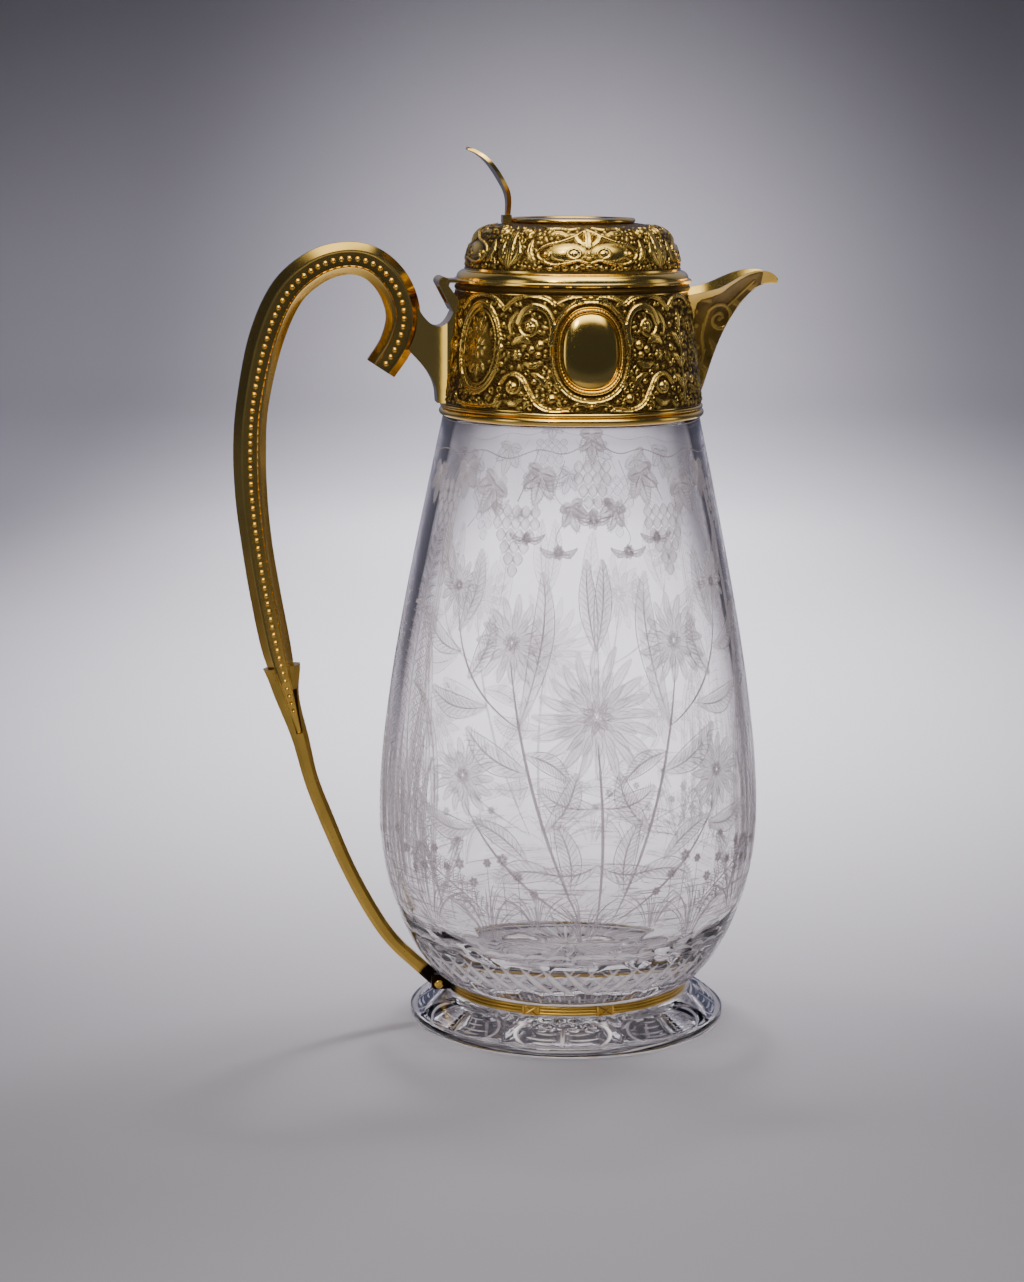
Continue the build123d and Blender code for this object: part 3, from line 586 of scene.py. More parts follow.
def make_foot_lines(sizes):
    """Ground edges of the petals on the foot, with painted refraction: dark strokes paint the foot's dark
    curved lines and pale mirror-like cuts catch its glints. Strokes lie on the unrolled slope, s round the
    foot and v up it.
    """
    cuts = Strokes(14, 4, True)
    fine = Strokes(12, 2, False)
    pitch = 2 * np.pi * FOOT_MEAN_RADIUS / sizes.petal_count
    half = pitch / 2
    edges = (
        # kind, unit of s, three points (s, v), width, tone
        (cuts, half, (0.62, 0.6), (1.05, 4.5), (0.60, 10.6), 1.5, 1.0),
        (fine, half, (0.60, 0.8), (1.0, 4.5), (0.58, 10.2), 0.5, 1.0),
        (fine, half, (0.52, 9.4), (0.78, 9.8), (0.84, 7.6), 0.8, 1.0),
        (fine, 1.0, (2.2, 1.2), (0.8, 4.0), (0.6, 8.4), 0.35, 0.7),
        (cuts, half, (0.10, 2.0), (0.3, 1.6), (0.5, 2.0), 0.8, 0.8),
        (fine, half, (0.30, 7.2), (0.45, 7.7), (0.62, 7.0), 0.5, 1.0),
        (fine, half, (0.66, 9.6), (0.92, 8.2), (0.96, 5.2), 1.3, 1.0),
    )
    # painted refraction: the fine dark strokes paint dark lines, the pale cuts are mirror-like to catch
    # glints
    for k in range(sizes.petal_count):
        c = k * pitch
        for side in (-1, 1):
            for kind, unit, *line, width, tone in edges:
                kind.add(*((c + side * unit * s, v) for s, v in line), width, tone)
            for v, reach in ((3.4, 0.62), (5.6, 0.48), (7.9, 0.40)):
                cuts.add((c + side * half * 0.12, v), (c + side * half * reach * 0.6, v - 0.5),
                         (c + side * half * reach, v + 0.2), 0.7, 1.0)
        cuts.add((c, 1.0), (c, 5.0), (c, 9.2), 1.6, 0.9)
        fine.add((c - half * 0.22, 9.0), (c, 8.4), (c + half * 0.22, 9.0), 0.9)
        fine.add((c, 8.8), (c, 6.5), (c, 4.6), 0.9)
    flat, quads, across, tone, lift, frost = merge_ribbons(
        [kind.ribbons(np.random.default_rng(2)) for kind in (cuts, fine)])
    angle = flat[:, 0] / FOOT_MEAN_RADIUS + FOOT_TURN
    r, z, tr, tz = (np.interp(flat[:, 1], run_along(FOOT_SLOPE), line[:, k])
                    for line in (FOOT_SLOPE, unit_tangent(FOOT_SLOPE)) for k in (0, 1))
    depth = foot_cuts(angle, r, z, sizes) - lift - 0.02
    points = on_wall(angle, z + depth * tr, r - depth * tz)
    return put_strokes("foot_petal_edges_and_painted_refraction", points, quads, across, tone, frost)


def cavity_floor():
    """Inside of the body, (radius, z) from the floor's edge up to the belly."""
    return bezier((22.0, CAVITY_FLOOR), (46.0, CAVITY_FLOOR), (CAVITY_RADIUS, 38.0),
                  (CAVITY_RADIUS, BELLY[1]), 22)


def make_star_lines(sizes):
    """Painted refraction: the rays of the star as the thick base shows them, drawn as long pointed pale and
    dark strokes on the cavity's floor.

    Each stroke's half-width is w sin(pi t)^0.5 across a ray at its own angle, and it lies on the floor.
    """
    count, steps, columns = 2 * sizes.star_points, 16, 4
    number = np.arange(count)
    t = np.linspace(0, 1, steps)
    reach = np.where(number % 2, 23.0, 35.0)
    r = 2.5 + reach[:, None] * t
    wide = 1.1 * np.sin(np.pi * (0.03 + 0.9 * t)) ** 0.5
    side = np.linspace(-0.5, 0.5, columns)
    aa = (number * 2 * np.pi / count)[:, None, None] + side * (wide / r)[..., None]
    rr = np.broadcast_to(r[..., None], aa.shape)
    line = cavity_floor()
    points = on_wall(aa, np.interp(rr, line[:, 0], line[:, 1]) + 0.12, rr)
    quads = grid_faces(steps, columns, flip=True)
    quads = (quads + (number * steps * columns)[:, None, None]).reshape(-1, 4)
    # painted refraction: half the rays are pale frosting, half are dark strokes
    across, frost = (np.broadcast_to(part, aa.shape) for part in (side + 0.5, (number % 2)[:, None, None]))
    return put_strokes("painted_star_refraction", points, quads, across, np.ones(aa.shape), frost)


class Engraver:
    """Three kinds of cut: short fine strokes, long stems, and broad frosted shapes."""

    def __init__(self, width, seed):
        self.width = width
        self.rng = np.random.default_rng(seed)
        self.fine = Strokes(6, 2, False)
        self.stem = Strokes(22, 2, False)
        self.frost = Strokes(11, 4, True)

    def mirror(self):
        for kind in (self.fine, self.stem, self.frost):
            kind.mirror()

    def mesh(self):
        """All ribbons in one set of points and faces."""
        return merge_ribbons([kind.ribbons(self.rng) for kind in (self.frost, self.stem, self.fine)])

    def leaf(self, p0, p1, p2, width, veins=9, tone=0.8):
        """Long pointed leaf: a frosted blade, a midrib, an edge on each side and slanting veins."""
        p0, p1, p2 = (np.asarray(p, float) for p in (p0, p1, p2))
        w = self.width
        self.frost.add(p0, p1, p2, width, tone)
        self.stem.add(p0, p1, p2, w * 1.5)
        t = np.linspace(0.12, 0.86, veins)[:, None]
        root, along, normal = on_arc(p0, p1, p2, t)
        reach = 0.46 * width * np.sin(np.pi * (0.04 + 0.92 * t)) ** 0.6
        middle = (p0 + 2 * p1 + p2) / 4
        out = left_of((p2 - p0) / np.hypot(*(p2 - p0))) * width * 0.5
        for sign in (-1, 1):
            tip = root + sign * normal * reach + along * reach * 1.1
            bend = root + sign * normal * reach * 0.35 + along * reach * 0.7
            self.fine.add(root, bend, tip, w * 0.9, 0.7)
            self.stem.add(p0, 2 * (middle + sign * out) - (p0 + p2) / 2, p2, w * 1.1, 0.9)

    def fern(self, base, bend, tip, pairs, reach):
        """Frond: a curved rib with pairs of pinnae that shorten to the tip, each set with small leaflets."""
        base, bend, tip = (np.asarray(p, float) for p in (base, bend, tip))
        w = self.width
        self.stem.add(base, bend, tip, w * 2.0)
        t = np.linspace(0.08, 0.98, pairs)[:, None]
        root, along, normal = on_arc(base, bend, tip, t)
        length = reach * np.sin(np.pi * (0.12 + 0.83 * t)) ** 0.8
        for sign in (-1, 1):
            out = sign * normal * 0.86 + along * 0.5
            end = root + out * length - along * 0.1 * length
            self.fine.add(root, root + out * length * 0.5 + along * 0.16 * length, end, w * 1.2)
            for share in (0.2, 0.36, 0.52, 0.68, 0.84):
                p = root + (end - root) * share + along * 0.06 * length
                size = 0.34 * length * (1 - 0.6 * share)
                for lean in (-1, 1):
                    leaflet = (out * 0.7 + lean * along * 0.8) * size
                    self.fine.add(p, p + leaflet * 0.55 + out * 0.1 * size, p + leaflet, w * 1.3, 0.45)

    def vine_leaf(self, centre, size, turn):
        """Five-lobed leaf: frosted lobes, a fan of veins, hatching beside them and a notched edge."""
        c = np.asarray(centre, float)
        w = self.width
        angle = np.array([-1.64, -0.82, 0.0, 0.82, 1.64]) + turn
        reach = np.array([0.62, 0.88, 1.0, 0.88, 0.62]) * size
        tips = c + heading(angle) * reach[:, None]
        self.frost.add(c - (tips - c) * 0.1, (c + tips) / 2, tips, size * 0.62, 0.7)
        self.fine.add(c, (c + tips) / 2, tips, w * 1.5)
        t = np.linspace(0.15, 0.9, 8)[:, None]
        for tip in tips:
            d = tip - c
            n = left_of(d)
            for sign in (-1, 1):
                root = c + d * t
                out = sign * n * 0.30 * np.sin(np.pi * (0.15 + 0.8 * t)) + d * 0.18
                self.fine.add(root, root + out * 0.5 + d * 0.02, root + out, w * 0.9, 0.7)
                a, b = c + d * 0.42 + sign * n * 0.30, c + d * 0.80 + sign * n * 0.24
                self.fine.add(c + d * 0.12 + sign * n * 0.12, c + d * 0.2 + sign * n * 0.34, a, w * 1.2)
                self.fine.add(a, b, tip, w * 1.2)

    def grapes(self, top, rows, size):
        """Bunch of berries: each a frosted disc ringed by two arcs, with a short highlight stroke."""
        places = [(top[0] + (k - (count - 1) / 2) * size * 1.02, top[1] - row * size * 0.9)
                  for row in range(rows) for count in [max(rows - row - (row == 0), 1)] for k in range(count)]
        c = np.array(places)
        r = size * 0.48
        self.frost.add(c + (0, r * 1.1), c, c - (0, r * 1.1), r * 2.0, 0.8)
        for sign in (-1, 1):
            self.fine.add(c + (0, r), c + (sign * r * 2.0, 0), c - (0, r), self.width * 1.3)
        self.fine.add(c + (-r * 0.45, r * 0.1), c + (-r * 0.4, r * 0.5), c + (0, r * 0.55), self.width)

    def grass(self, base, count, height, spread):
        """Tuft of blades that start close together and arch outwards."""
        rng = self.rng
        lean = rng.uniform(-1, 1, count)
        tall = height * rng.uniform(0.5, 1.0, count) * (1 - 0.3 * np.abs(lean))
        root = np.stack([base[0] + lean * spread * 0.16, np.full(count, base[1])], -1)
        tip = root + np.stack([lean * spread, tall], -1)
        middle = root + np.stack([lean * spread * 0.22, tall * 0.85], -1)
        width = self.width * rng.uniform(0.8, 1.7, count)
        self.stem.add(root, middle, tip, width, rng.uniform(0.5, 0.9, count))

    def tendril(self, line, width):
        """Wavy stalk through points, cut into short curved strokes that join."""
        path = smooth_path(line, 20 * (len(line) - 1) + 1)
        self.fine.add(path[:-2:2], path[1:-1:2] * 2 - (path[:-2:2] + path[2::2]) / 2, path[2::2], width)

    def blossom(self, centre, size, rings):
        """Many-petalled bloom: rings of pointed petals, each ring smaller than the one outside it."""
        c = np.asarray(centre, float)
        for ring, petals in enumerate(rings):
            outer = size * (1.0 - 0.34 * ring)
            for k in range(petals):
                a = 2 * np.pi * (k + 0.5 * (ring % 2)) / petals + 0.2 * ring
                d = heading(a)
                n = left_of(d)
                grow = outer * (1.0 + 0.08 * np.cos(3 * a + size))
                wide = 2.2 * np.pi * outer * 0.62 / petals
                root, bend, tip = c + d * outer * 0.18, c + d * grow * 0.62 + n * grow * 0.07, c + d * grow
                self.frost.add(root, bend, tip, wide, 0.85)
                for side in (-0.62, 0.0, 0.62):
                    start = c + d * outer * (0.42 if side else 0.55)
                    self.fine.add(start, bend + n * side * wide, tip, self.width * (0.8 if side else 0.6),
                                  0.75 if side else 0.45)
        self.flower(c, size * 0.24, 7)

    def flower(self, centre, size, petals, turn=0.0):
        """Open flower: frosted petals with hatching inside, and a ringed eye."""
        c = np.asarray(centre, float)
        w = self.width
        a = turn + np.arange(petals) * 2 * np.pi / petals
        d = heading(a) * size
        n = left_of(d)
        self.frost.add(c + d * 0.15, c + d * 0.6, c + d, size * 0.52, 0.85)
        for sign in (-1, 1):
            self.fine.add(c + d * 0.2, c + d * 0.62 + sign * n * 0.44, c + d, w * 1.3)
            for share in (0.08, 0.2):
                bend, tip = c + d * 0.5 + sign * n * share, c + d * (0.85 - share)
                self.fine.add(c + d * 0.25, bend, tip, w * 0.8, 0.6)
            self.fine.add(c + (0, size * 0.17), c + (sign * size * 0.34, 0), c - (0, size * 0.17), w * 1.3)


def side_scene(width, seed):
    """One side of the body: many-petalled blossoms on leafy stems between ferns, under a fruiting vine, with
    painted refraction streaks round the base.
    """
    e = Engraver(width, seed)
    for p0, p1, p2, wide in (((5, 46), (22, 84), (30, 128), 3.2), ((5, 46), (30, 60), (44, 84), 2.6),
                             ((26, 108), (50, 120), (54, 146), 2.4)):
        e.stem.add(p0, p1, p2, width * wide)
    for p0, p1, p2, wide in (
            ((12, 62), (26, 66), (33, 59), 7.5), ((9, 56), (6, 68), (14, 80), 7.0),
            ((17, 76), (7, 84), (7, 95), 7.0), ((22, 94), (36, 96), (45, 107), 8.5),
            ((26, 108), (15, 140), (20, 156), 8.0), ((24, 100), (14, 99), (9, 92), 6.0),
            ((38, 114), (52, 110), (62, 118), 7.5), ((46, 122), (38, 130), (38, 142), 7.0),
            ((40, 76), (50, 72), (60, 80), 7.5), ((50, 130), (64, 130), (70, 142), 7.0),
            ((52, 136), (44, 150), (46, 162), 7.0), ((54, 146), (66, 156), (66, 170), 7.5),
            ((22, 66), (30, 76), (41, 78), 6.0)):
        e.leaf(p0, p1, p2, wide, 11)
    for flower in (((30, 134), 14.0, (15, 11)), ((45, 92), 12.5, (14, 9)), ((55, 150), 9.5, (12, 8))):
        e.blossom(*flower)
    for frond in (((52, 50), (84, 88), (72, 168), 38, 12.5), ((70, 48), (98, 80), (92, 150), 32, 10.5),
                  ((88, 46), (94, 70), (97, 112), 22, 7.0), ((34, 46), (50, 60), (70, 66), 20, 7.0)):
        e.fern(*frond)
    for vine in (((22, 186), 10.5, -1.3), ((43, 182), 11.0, -1.0), ((9, 176), 8.0, -1.9),
                 ((60, 186), 9.5, -1.6), ((82, 184), 10.5, -1.5)):
        e.vine_leaf(*vine)
    e.grapes((32, 174), 6, 4.0)
    e.grapes((71, 180), 5, 3.8)
    for wide, line in (
            (1.4, [(0, 196), (12, 192), (24, 193), (38, 190), (52, 192), (66, 190), (80, 191), (97, 189)]),
            (1.5, [(24, 193), (27, 186), (32, 177)]), (1.5, [(66, 188), (69, 184), (71, 181)]),
            (1.1, [(12, 190), (16, 180), (11, 174), (15, 166), (9, 160)]),
            (1.1, [(52, 192), (55, 182), (50, 174), (55, 168)])):
        e.tendril(line, width * wide)
    for tuft in (((19, 44), 14, 15, 13), ((36, 39), 20, 24, 17), ((60, 42), 16, 19, 18),
                 ((84, 40), 20, 26, 16), ((72, 55), 16, 48, 9), ((90, 58), 18, 62, 7)):
        e.grass(*tuft)
    for k in range(9):
        e.leaf((62 + 3.2 * k, 50), (64 + 3.6 * k, 80), (58 + 4.6 * k, 96 + 9 * (k % 3)), 2.6, 9, 0.9)
    for root, top, tip, wide in ((58, (50, 112), (74, 118), 3.4), (61, (58, 150), (82, 142), 3.8),
                                 (56, (38, 84), (50, 66), 2.8), (64, (70, 176), (60, 184), 3.2),
                                 (54, (60, 80), (66, 60), 2.4)):
        e.leaf((root, 47), top, tip, wide, 14, 0.95)
    for k in range(16):
        x, z = 20 + 5.1 * k, 47 + 2.3 * (k % 3)
        top = z + 9 + 3 * (k % 4)
        e.flower((x, top), 1.5 + 0.3 * (k % 3), 6, 0.3 * k)
        e.stem.add((x - 1, z - 4), (x - 0.5, z + 3), (x, top), width * 1.1)
    # painted refraction: upright pale and dark strokes, pale dashes and a dark line round the base stand in
    # for the glints and dark streaks the thick base throws
    for k in range(44):
        x = 1.1 + k * 2.2
        low, tall = 15.4 + 0.5 * (k % 3), (6.5, 3.0, 4.6, 2.4)[k % 4]
        kind, wide = (e.frost, 1.3) if k % 2 else (e.stem, width * 1.6)
        kind.add((x, low), (x + 0.3, low + tall / 2), (x + 0.5, low + tall), wide)
        if k % 3 == 0:
            e.frost.add((x - 3.4, 26.4 + 0.6 * (k % 5)), (x, 26.0), (x + 3.4, 26.6), 0.9)
            e.stem.add((x - 2.0, 17.6), (x + 0.5, 17.3), (x + 3.2, 17.7), width * 1.5)
    # painted refraction: slanting lens shapes, pale blades with dark edges, stand in for the glints and dark
    # lines round the body's base
    low_painted_refraction = (
        # kind, three points (s from the middle, z), width, tone
        (e.frost, (-5.5, 20.0), (0.5, 22.0), (6.5, 29.5), 2.6, 1.0),
        (e.stem, (-5.5, 20.0), (-1.5, 24.5), (6.5, 29.5), width * 1.2, 1.0),
        (e.stem, (-5.5, 20.0), (2.5, 21.0), (6.5, 29.5), width * 1.6, 1.0),
        (e.frost, (6.5, 20.0), (0.5, 22.0), (-5.5, 29.5), 1.6, 0.7),
        (e.frost, (-4.0, 33.4), (0.0, 35.2), (4.0, 33.4), 1.6, 1.0),
        (e.stem, (-4.0, 33.4), (0.0, 31.2), (4.0, 33.4), width * 1.3, 1.0),
    )
    for k in range(12):
        x = 4.0 + k * 8.1
        for kind, *line, wide, tone in low_painted_refraction:
            kind.add(*((x + s, z) for s, z in line), wide, tone)
    e.mirror()
    e.stem.add((0, 44), (3, 72), (0, 104), width * 3.2)
    e.blossom((0, 112), 21.0, (20, 16, 11))
    for side in (-1, 1):
        e.leaf((0, 84), (side * 12, 82), (side * 19, 90), 7.5, 11)
        e.leaf((0, 132), (side * 4, 146), (side * 3, 160), 6.5, 11)
        e.leaf((0, 66), (side * 8, 60), (side * 18, 64), 6.5, 9)
    e.vine_leaf((0, 198), 8.5, -math.pi / 2)
    e.grapes((0, 188), 5, 4.0)
    e.grass((-4, 40), 22, 19, 15)
    for x, z, size in ((0, 172, 3.2), (14, 162, 2.4), (-14, 162, 2.4), (27, 166, 2.2), (-27, 166, 2.2)):
        e.flower((x, z), size, 8, 0.2)
        for lean in (-1, 1):
            e.leaf((x, z), (x + lean * 4, z - 2), (x + lean * 7.5, z + 1.5), 2.0, 5)
    rng = e.rng
    count = 300
    level = np.concatenate([rng.uniform(30, 44, count // 2), rng.uniform(44, 58, count // 2)])
    p = np.stack([rng.uniform(-96, 84, count), level], -1)
    q = p + np.stack([rng.uniform(4, 16, count), rng.uniform(-0.4, 0.4, count)], -1)
    e.fine.add(p, (p + q) / 2 + (0, 0.3), q, width * rng.uniform(0.7, 1.5, count), 0.7)
    e.frost.add(p[::3], (p + q)[::3] / 2, q[::3], rng.uniform(1.5, 3.5, len(p[::3])), 0.5)
    return e.mesh()


def make_engraving(sizes):
    """Matt strokes lying on the outside of the body, on the front and the rear: engraving, and painted
    refraction round the base.
    """
    pieces = []
    for name, turn, seed in (("engraving_and_painted_refraction_front", FRONT, 4), ("engraving_and_painted_refraction_rear", REAR, 9)):
        flat, quads, across, tone, lift, frost = side_scene(sizes.stroke_width / MM, seed)
        z = np.minimum(flat[:, 1], BODY_TOP[1] - 0.6)
        points = on_wall(flat[:, 0] / BELLY[0] + turn, z, body_radius(z) - GLASS_INSET + lift)
        pieces.append(put_strokes(name, points, quads, across, tone, frost))
    return pieces


# ---------------------------------------------------------------- collar
def medallion(relief, centre):
    """Oval boss: a double frame round a rosette with a spray of leaves above and below."""
    u, v = centre
    relief.oval(centre, 9.0, 13.6, 1.5, 0.8)
    relief.oval(centre, 7.2, 11.6, 0.6, 0.5, double=False)
    relief.dome(centre, 6.8, 11.0, 0.30)
    relief.rosette(centre, 4.0, 8, 1.05)
    for way in (-1, 1):
        for lean in (-1, 0, 1):
            root, middle = (u + lean * 0.6, v + way * 3.6), (u + lean * 2.6, v + way * 6.4)
            tip = (u + lean * 3.4, v + way * (9.6 - abs(lean) * 1.6))
            relief.leaves(1, ((root, middle, tip), 2.4, 0.85, 3), count=10)
        for lean in (-1, 1):
            relief.bead((u + lean * 5.2, v + way * 4.2), 0.7)


def scroll_group(relief, side):
    """Strapwork on one side of the cartouche: a broad C-scroll round flowers, and an S-scroll below."""
    top = ((23.5, 27.6), (21.8, 31.0), (18.6, 32.4), (15.0, 31.6), (12.8, 28.8), (12.2, 25.0), (12.8, 21.0))
    relief.strap(smooth_path(np.multiply(top, (side, 1)), 40), 2.6, 1.0, double=False, taper=0.35)
    relief.straps(
        side,
        (((11.6, 33.2), (14.5, 35.0), (19.5, 35.8), (25.0, 34.6), (29.0, 31.4)), 30, 1.7, 0.8, True),
        (((28.4, 8.6), (26.6, 10.8), (24.0, 11.6), (21.2, 10.2), (19.0, 6.6), (16.4, 2.6), (12.4, 0.8),
          (7.0, 1.0)), 60, 1.5, 0.9, True))
    relief.curl(((side * 19.6, 26.4), 4.3, math.pi / 2, side * -1.25, 0.3), 0.9, 0.8)
    relief.curl(((side * 24.6, 8.0), 3.5, math.pi / 2, side * 0.9, 0.35), 0.9, 0.8)
    relief.rosette((side * 19.6, 26.2), 2.0, 5, 1.0)
    relief.rosette((side * 23.6, 17.4), 1.9, 6, 0.9)
    relief.beads(
        side, (16.2, 20.6, 1.5, 1.1), (18.9, 19.2, 1.2, 0.9), (16.6, 17.6, 1.1, 0.9), (24.4, 7.6, 1.5, 1.2),
        (12.0, 4.2, 1.5, 1.2), (17.6, 9.4, 0.9, None), (28.8, 14.4, 0.9, None), (10.6, 8.6, 0.8, None))
    relief.leaves(
        side,
        (((19.5, 21.5), (22.8, 22.6), (25.8, 20.4)), 3.0, 0.8, 4),
        (((24.0, 31.0), (26.4, 27.0), (26.0, 22.8)), 2.4, 0.8, 4),
        (((15.0, 15.6), (18.4, 14.2), (21.6, 15.4)), 2.4, 0.7, 4),
        (((13.6, 8.0), (15.6, 10.6), (19.2, 12.2)), 2.2, 0.7, 4),
        (((21.0, 4.0), (24.0, 2.4), (27.6, 3.4)), 2.2, 0.7, 4))


def collar_relief(u, v):
    """Ornament of half the collar: u runs from the handle to the spout, with the cartouche at 0."""
    relief = Relief(u, v)
    relief.oval((0, CARTOUCHE_RISE), 12.2, 15.4, 1.3, 0.75, 2.2)
    relief.straps(
        1,
        (((-11.6, 33.2), (-7.0, 35.3), (0, 35.9), (7.0, 35.3), (11.6, 33.2)), 30, 1.4, 0.8, True),
        (((-29.0, 31.4), (-33.0, 34.4), (-38.8, 35.6), (-44.6, 34.4), (-49.0, 31.0)), 30, 1.5, 0.8, True),
        (((29.0, 31.4), (32.0, 34.2), (36.0, 35.2), (40.0, 34.6), (44.0, 32.0)), 30, 1.5, 0.8, True),
        (((34.6, 3.0), (34.6, 12.0), (34.6, 25.0)), 20, 0.9, 0.7, False),
        (((-29.4, 4.4), (-31.0, 1.8), (-38.8, 1.1), (-46.4, 1.8), (-48.4, 4.4)), 30, 1.2, 0.8, True))
    for side in (-1, 1):
        scroll_group(relief, side)
        relief.leaves(side, (((0.5, 33.8), (3.6, 34.6), (6.2, 33.0)), 2.0, 0.8, 4),
                      (((0.6, 1.9), (3.0, 3.0), (5.6, 2.2)), 1.6, 0.8, 3))
        relief.curl(((side * 3.8, 34.6), 1.5, 0.0, side * 1.0, 0.4), 0.6, 0.7)
    relief.beads(1, (0, 35.0, 0.9, 0.9), (0, 2.0, 0.8, 0.9))
    medallion(relief, (-38.8, 19.2))
    stem = 34.6
    relief.leaves(1, (((stem, 24.0), (stem, 27.5), (stem, 31.5)), 3.4, 0.9, 5), *(
        (((stem, v0), (stem + lean * 2.4, v0 + 3.4), (stem + lean * 5.0, v0 + 4.4)), 2.8, 0.85, 4)
        for v0 in (6.5, 13.0, 19.5) for lean in (-1, 1)))
    relief.beads(1, *((u0, v0, r0, r0 * 0.8) for u0, v0, r0 in (
        (-29.6, 19.5, 1.2), (-29.2, 26.5, 1.0), (-50.6, 26.0, 1.4), (-50.8, 12.0, 1.4), (29.6, 19.5, 1.2),
        (29.8, 26.5, 1.0), (30.4, 9.6, 1.1), (-52.4, 19.0, 1.6), (40.6, 9.0, 1.4), (42.6, 26.0, 1.1))))
    relief.leaves(1, *((((u0, v0 - 3.5), (u0 + 2.6, v0), (u0 - 0.6, v0 + 4.6)), 3.2, 0.8, 5)
                       for u0 in (-57.5, 46.5) for v0 in (6.0, 15.0, 24.0)))
    fill_ground(relief, 3, 1.75, (0.5, 1.5), (30.0, 34.5),
                bare=lambda u, v: (u / 11.5) ** 2 + ((v - CARTOUCHE_RISE) / 14.5) ** 2 < 1)
    fill_ground(relief, 5, 1.75, (30.0, 1.5), (61.0, 34.5))
    return relief


def spout_footprint(z):
    """Half-width of the spout's root on the collar, which its wall covers."""
    share = np.clip((z - 203.5) / 37.0, 0, 1)
    return 1.6 + 13.4 * share**3.6


def make_collar_skins(sizes):
    """Chased skins on the front and rear of the collar: the cone pushed out by the ornament's height.

    The borders bend into the band, and the faces inside the spout's root are left out.
    """
    v = np.linspace(0.0, COLLAR_TOP - COLLAR_LOW, 132)
    u = np.linspace(-62.2, 62.2, 456)
    relief = collar_relief(u, v)
    scale = sizes.relief_depth / MM
    pieces = []
    vv, uu = np.meshgrid(v, u, indexing="ij")
    border = np.minimum.reduce([step(vv, 0.0, 0.35), step(v[-1] - vv, 0.0, 0.35), step(uu - u[0], 0.0, 0.5),
                                step(u[-1] - uu, 0.0, 0.5)])
    z = COLLAR_LOW + vv
    sink, clearance = 0.4, 0.06
    for name, turn in (("collar_chasing_front", FRONT), ("collar_chasing_rear", REAR)):
        height = relief.height if turn == FRONT else relief.height[:, ::-1]
        r = collar_radius(z) - sink * (1 - border) + clearance + scale * height * border
        points = on_wall(uu / COLLAR_MEAN_RADIUS + turn, z, r).reshape(-1, 3)
        faces = grid_faces(len(v), len(u))
        x, y, level = np.moveaxis(points[faces].mean(1), 1, 0)
        faces = faces[(x <= 0) | (np.abs(y) >= spout_footprint(level) - 0.7)]
        points, faces, mask = drop_unused(points, faces, height * border)
        pieces.append(put_mesh(name, points, [faces], "jug",
                               attributes={"relief": mask}, sharp=70))
    return pieces


def make_collar_base():
    """Moulding under the collar: two half-round beads with a quirk between, turned round the axis."""
    t = np.linspace(-np.pi / 2, np.pi / 2, 12)
    low = np.stack([41.55 + 1.22 * np.cos(t), 201.5 + 1.24 * np.sin(t)], -1)
    high = np.stack([41.70 + 0.72 * np.cos(t), 203.55 + 0.72 * np.sin(t)], -1)
    profile = np.vstack([
        [(41.0, 200.26), (41.2, 200.26)], low, [(41.5, 202.78)], high,
        [(41.4, 204.34), (38.3, 204.38), (38.3, 200.26)]])
    sides = 256
    faces = [grid_faces(len(profile), sides, wrap=True), join_rings((len(profile) - 1) * sides, 0, sides)]
    return put_mesh("collar_base_moulded", turned(profile, sides), faces, "jug", ["collar_base"],
                    sharp=50)


def make_cartouche(side):
    """Blank shield: a faintly domed plate in a moulded frame, along rays from its centre, bent to the collar.

    Along each ray the height is the plate, a cove, a frame bead with fine nicks, a step and the wall.
    """
    rays, plate_rings, frame_rings = 240, 40, 91
    power, half_u, half_v = 2.35, 10.6, 13.75
    plate_edge = 0.80
    share = np.concatenate([np.linspace(0.02, plate_edge, plate_rings),
                            np.linspace(plate_edge, 1.0, frame_rings)[1:]])
    a = np.linspace(0, 2 * np.pi, rays, endpoint=False)
    ss, aa = np.meshgrid(share, a, indexing="ij")
    unit = (np.abs(np.cos(aa)) ** power + np.abs(np.sin(aa)) ** power) ** (-1 / power)
    u = ss * unit * half_u * np.cos(aa)
    v = ss * unit * half_v * np.sin(aa)

    def half_round(middle, half_width, tall):
        return tall * np.sqrt(np.clip(1 - ((ss - middle) / half_width) ** 2, 0, 1))

    plate = 0.30 + 1.15 * (1 - (ss / 0.83) ** 4)
    bead = half_round(0.915, 0.042, 1.30)
    nicks = 0.10 * np.cos(aa * 72) * (bead > 0.2)
    base = np.where(ss < 0.835, plate, 0.35 * (1 - step(ss, 0.975, 1.0)) + 0.1)
    inner, outer = half_round(0.85, 0.02, 0.95), half_round(0.972, 0.022, 0.9)
    height = np.maximum.reduce([base, bead + nicks, inner, outer])
    height[-1] = -0.3
    turn = FRONT if side < 0 else REAR
    middle = COLLAR_LOW + CARTOUCHE_RISE
    z = middle + v
    grid = on_wall(u / COLLAR_MEAN_RADIUS + turn, z, collar_radius(z) + height)
    first, last = (on_wall(np.array(turn), middle, collar_radius(middle) + out) for out in (1.45, -0.3))
    points, faces = closed_grid(grid, first=first, last=last)
    name = "cartouche_front" if side < 0 else "cartouche_rear"
    mask = np.concatenate([(0.35 + 0.65 * (height > 0.5)).reshape(-1), [1, 1]])
    return put_mesh(name + "_moulded", points, faces, "jug", [name], sharp=50,
                    attributes={"relief": mask})


# ---------------------------------------------------------------- spout
SPOUT = np.array([
    # place along the spout, keel, rim, half-width, flare
    (34.0, 188.0, 239.9, 15.6, 4.0), (40.0, 201.5, 240.1, 15.0, 3.6), (44.5, 213.0, 241.0, 13.9, 3.0),
    (49.5, 226.5, 243.1, 12.0, 2.2), (54.5, 234.9, 245.4, 9.6, 1.6), (59.5, 240.2, 246.5, 6.8, 1.2),
    (63.5, 242.0, 246.0, 4.3, 1.0)])


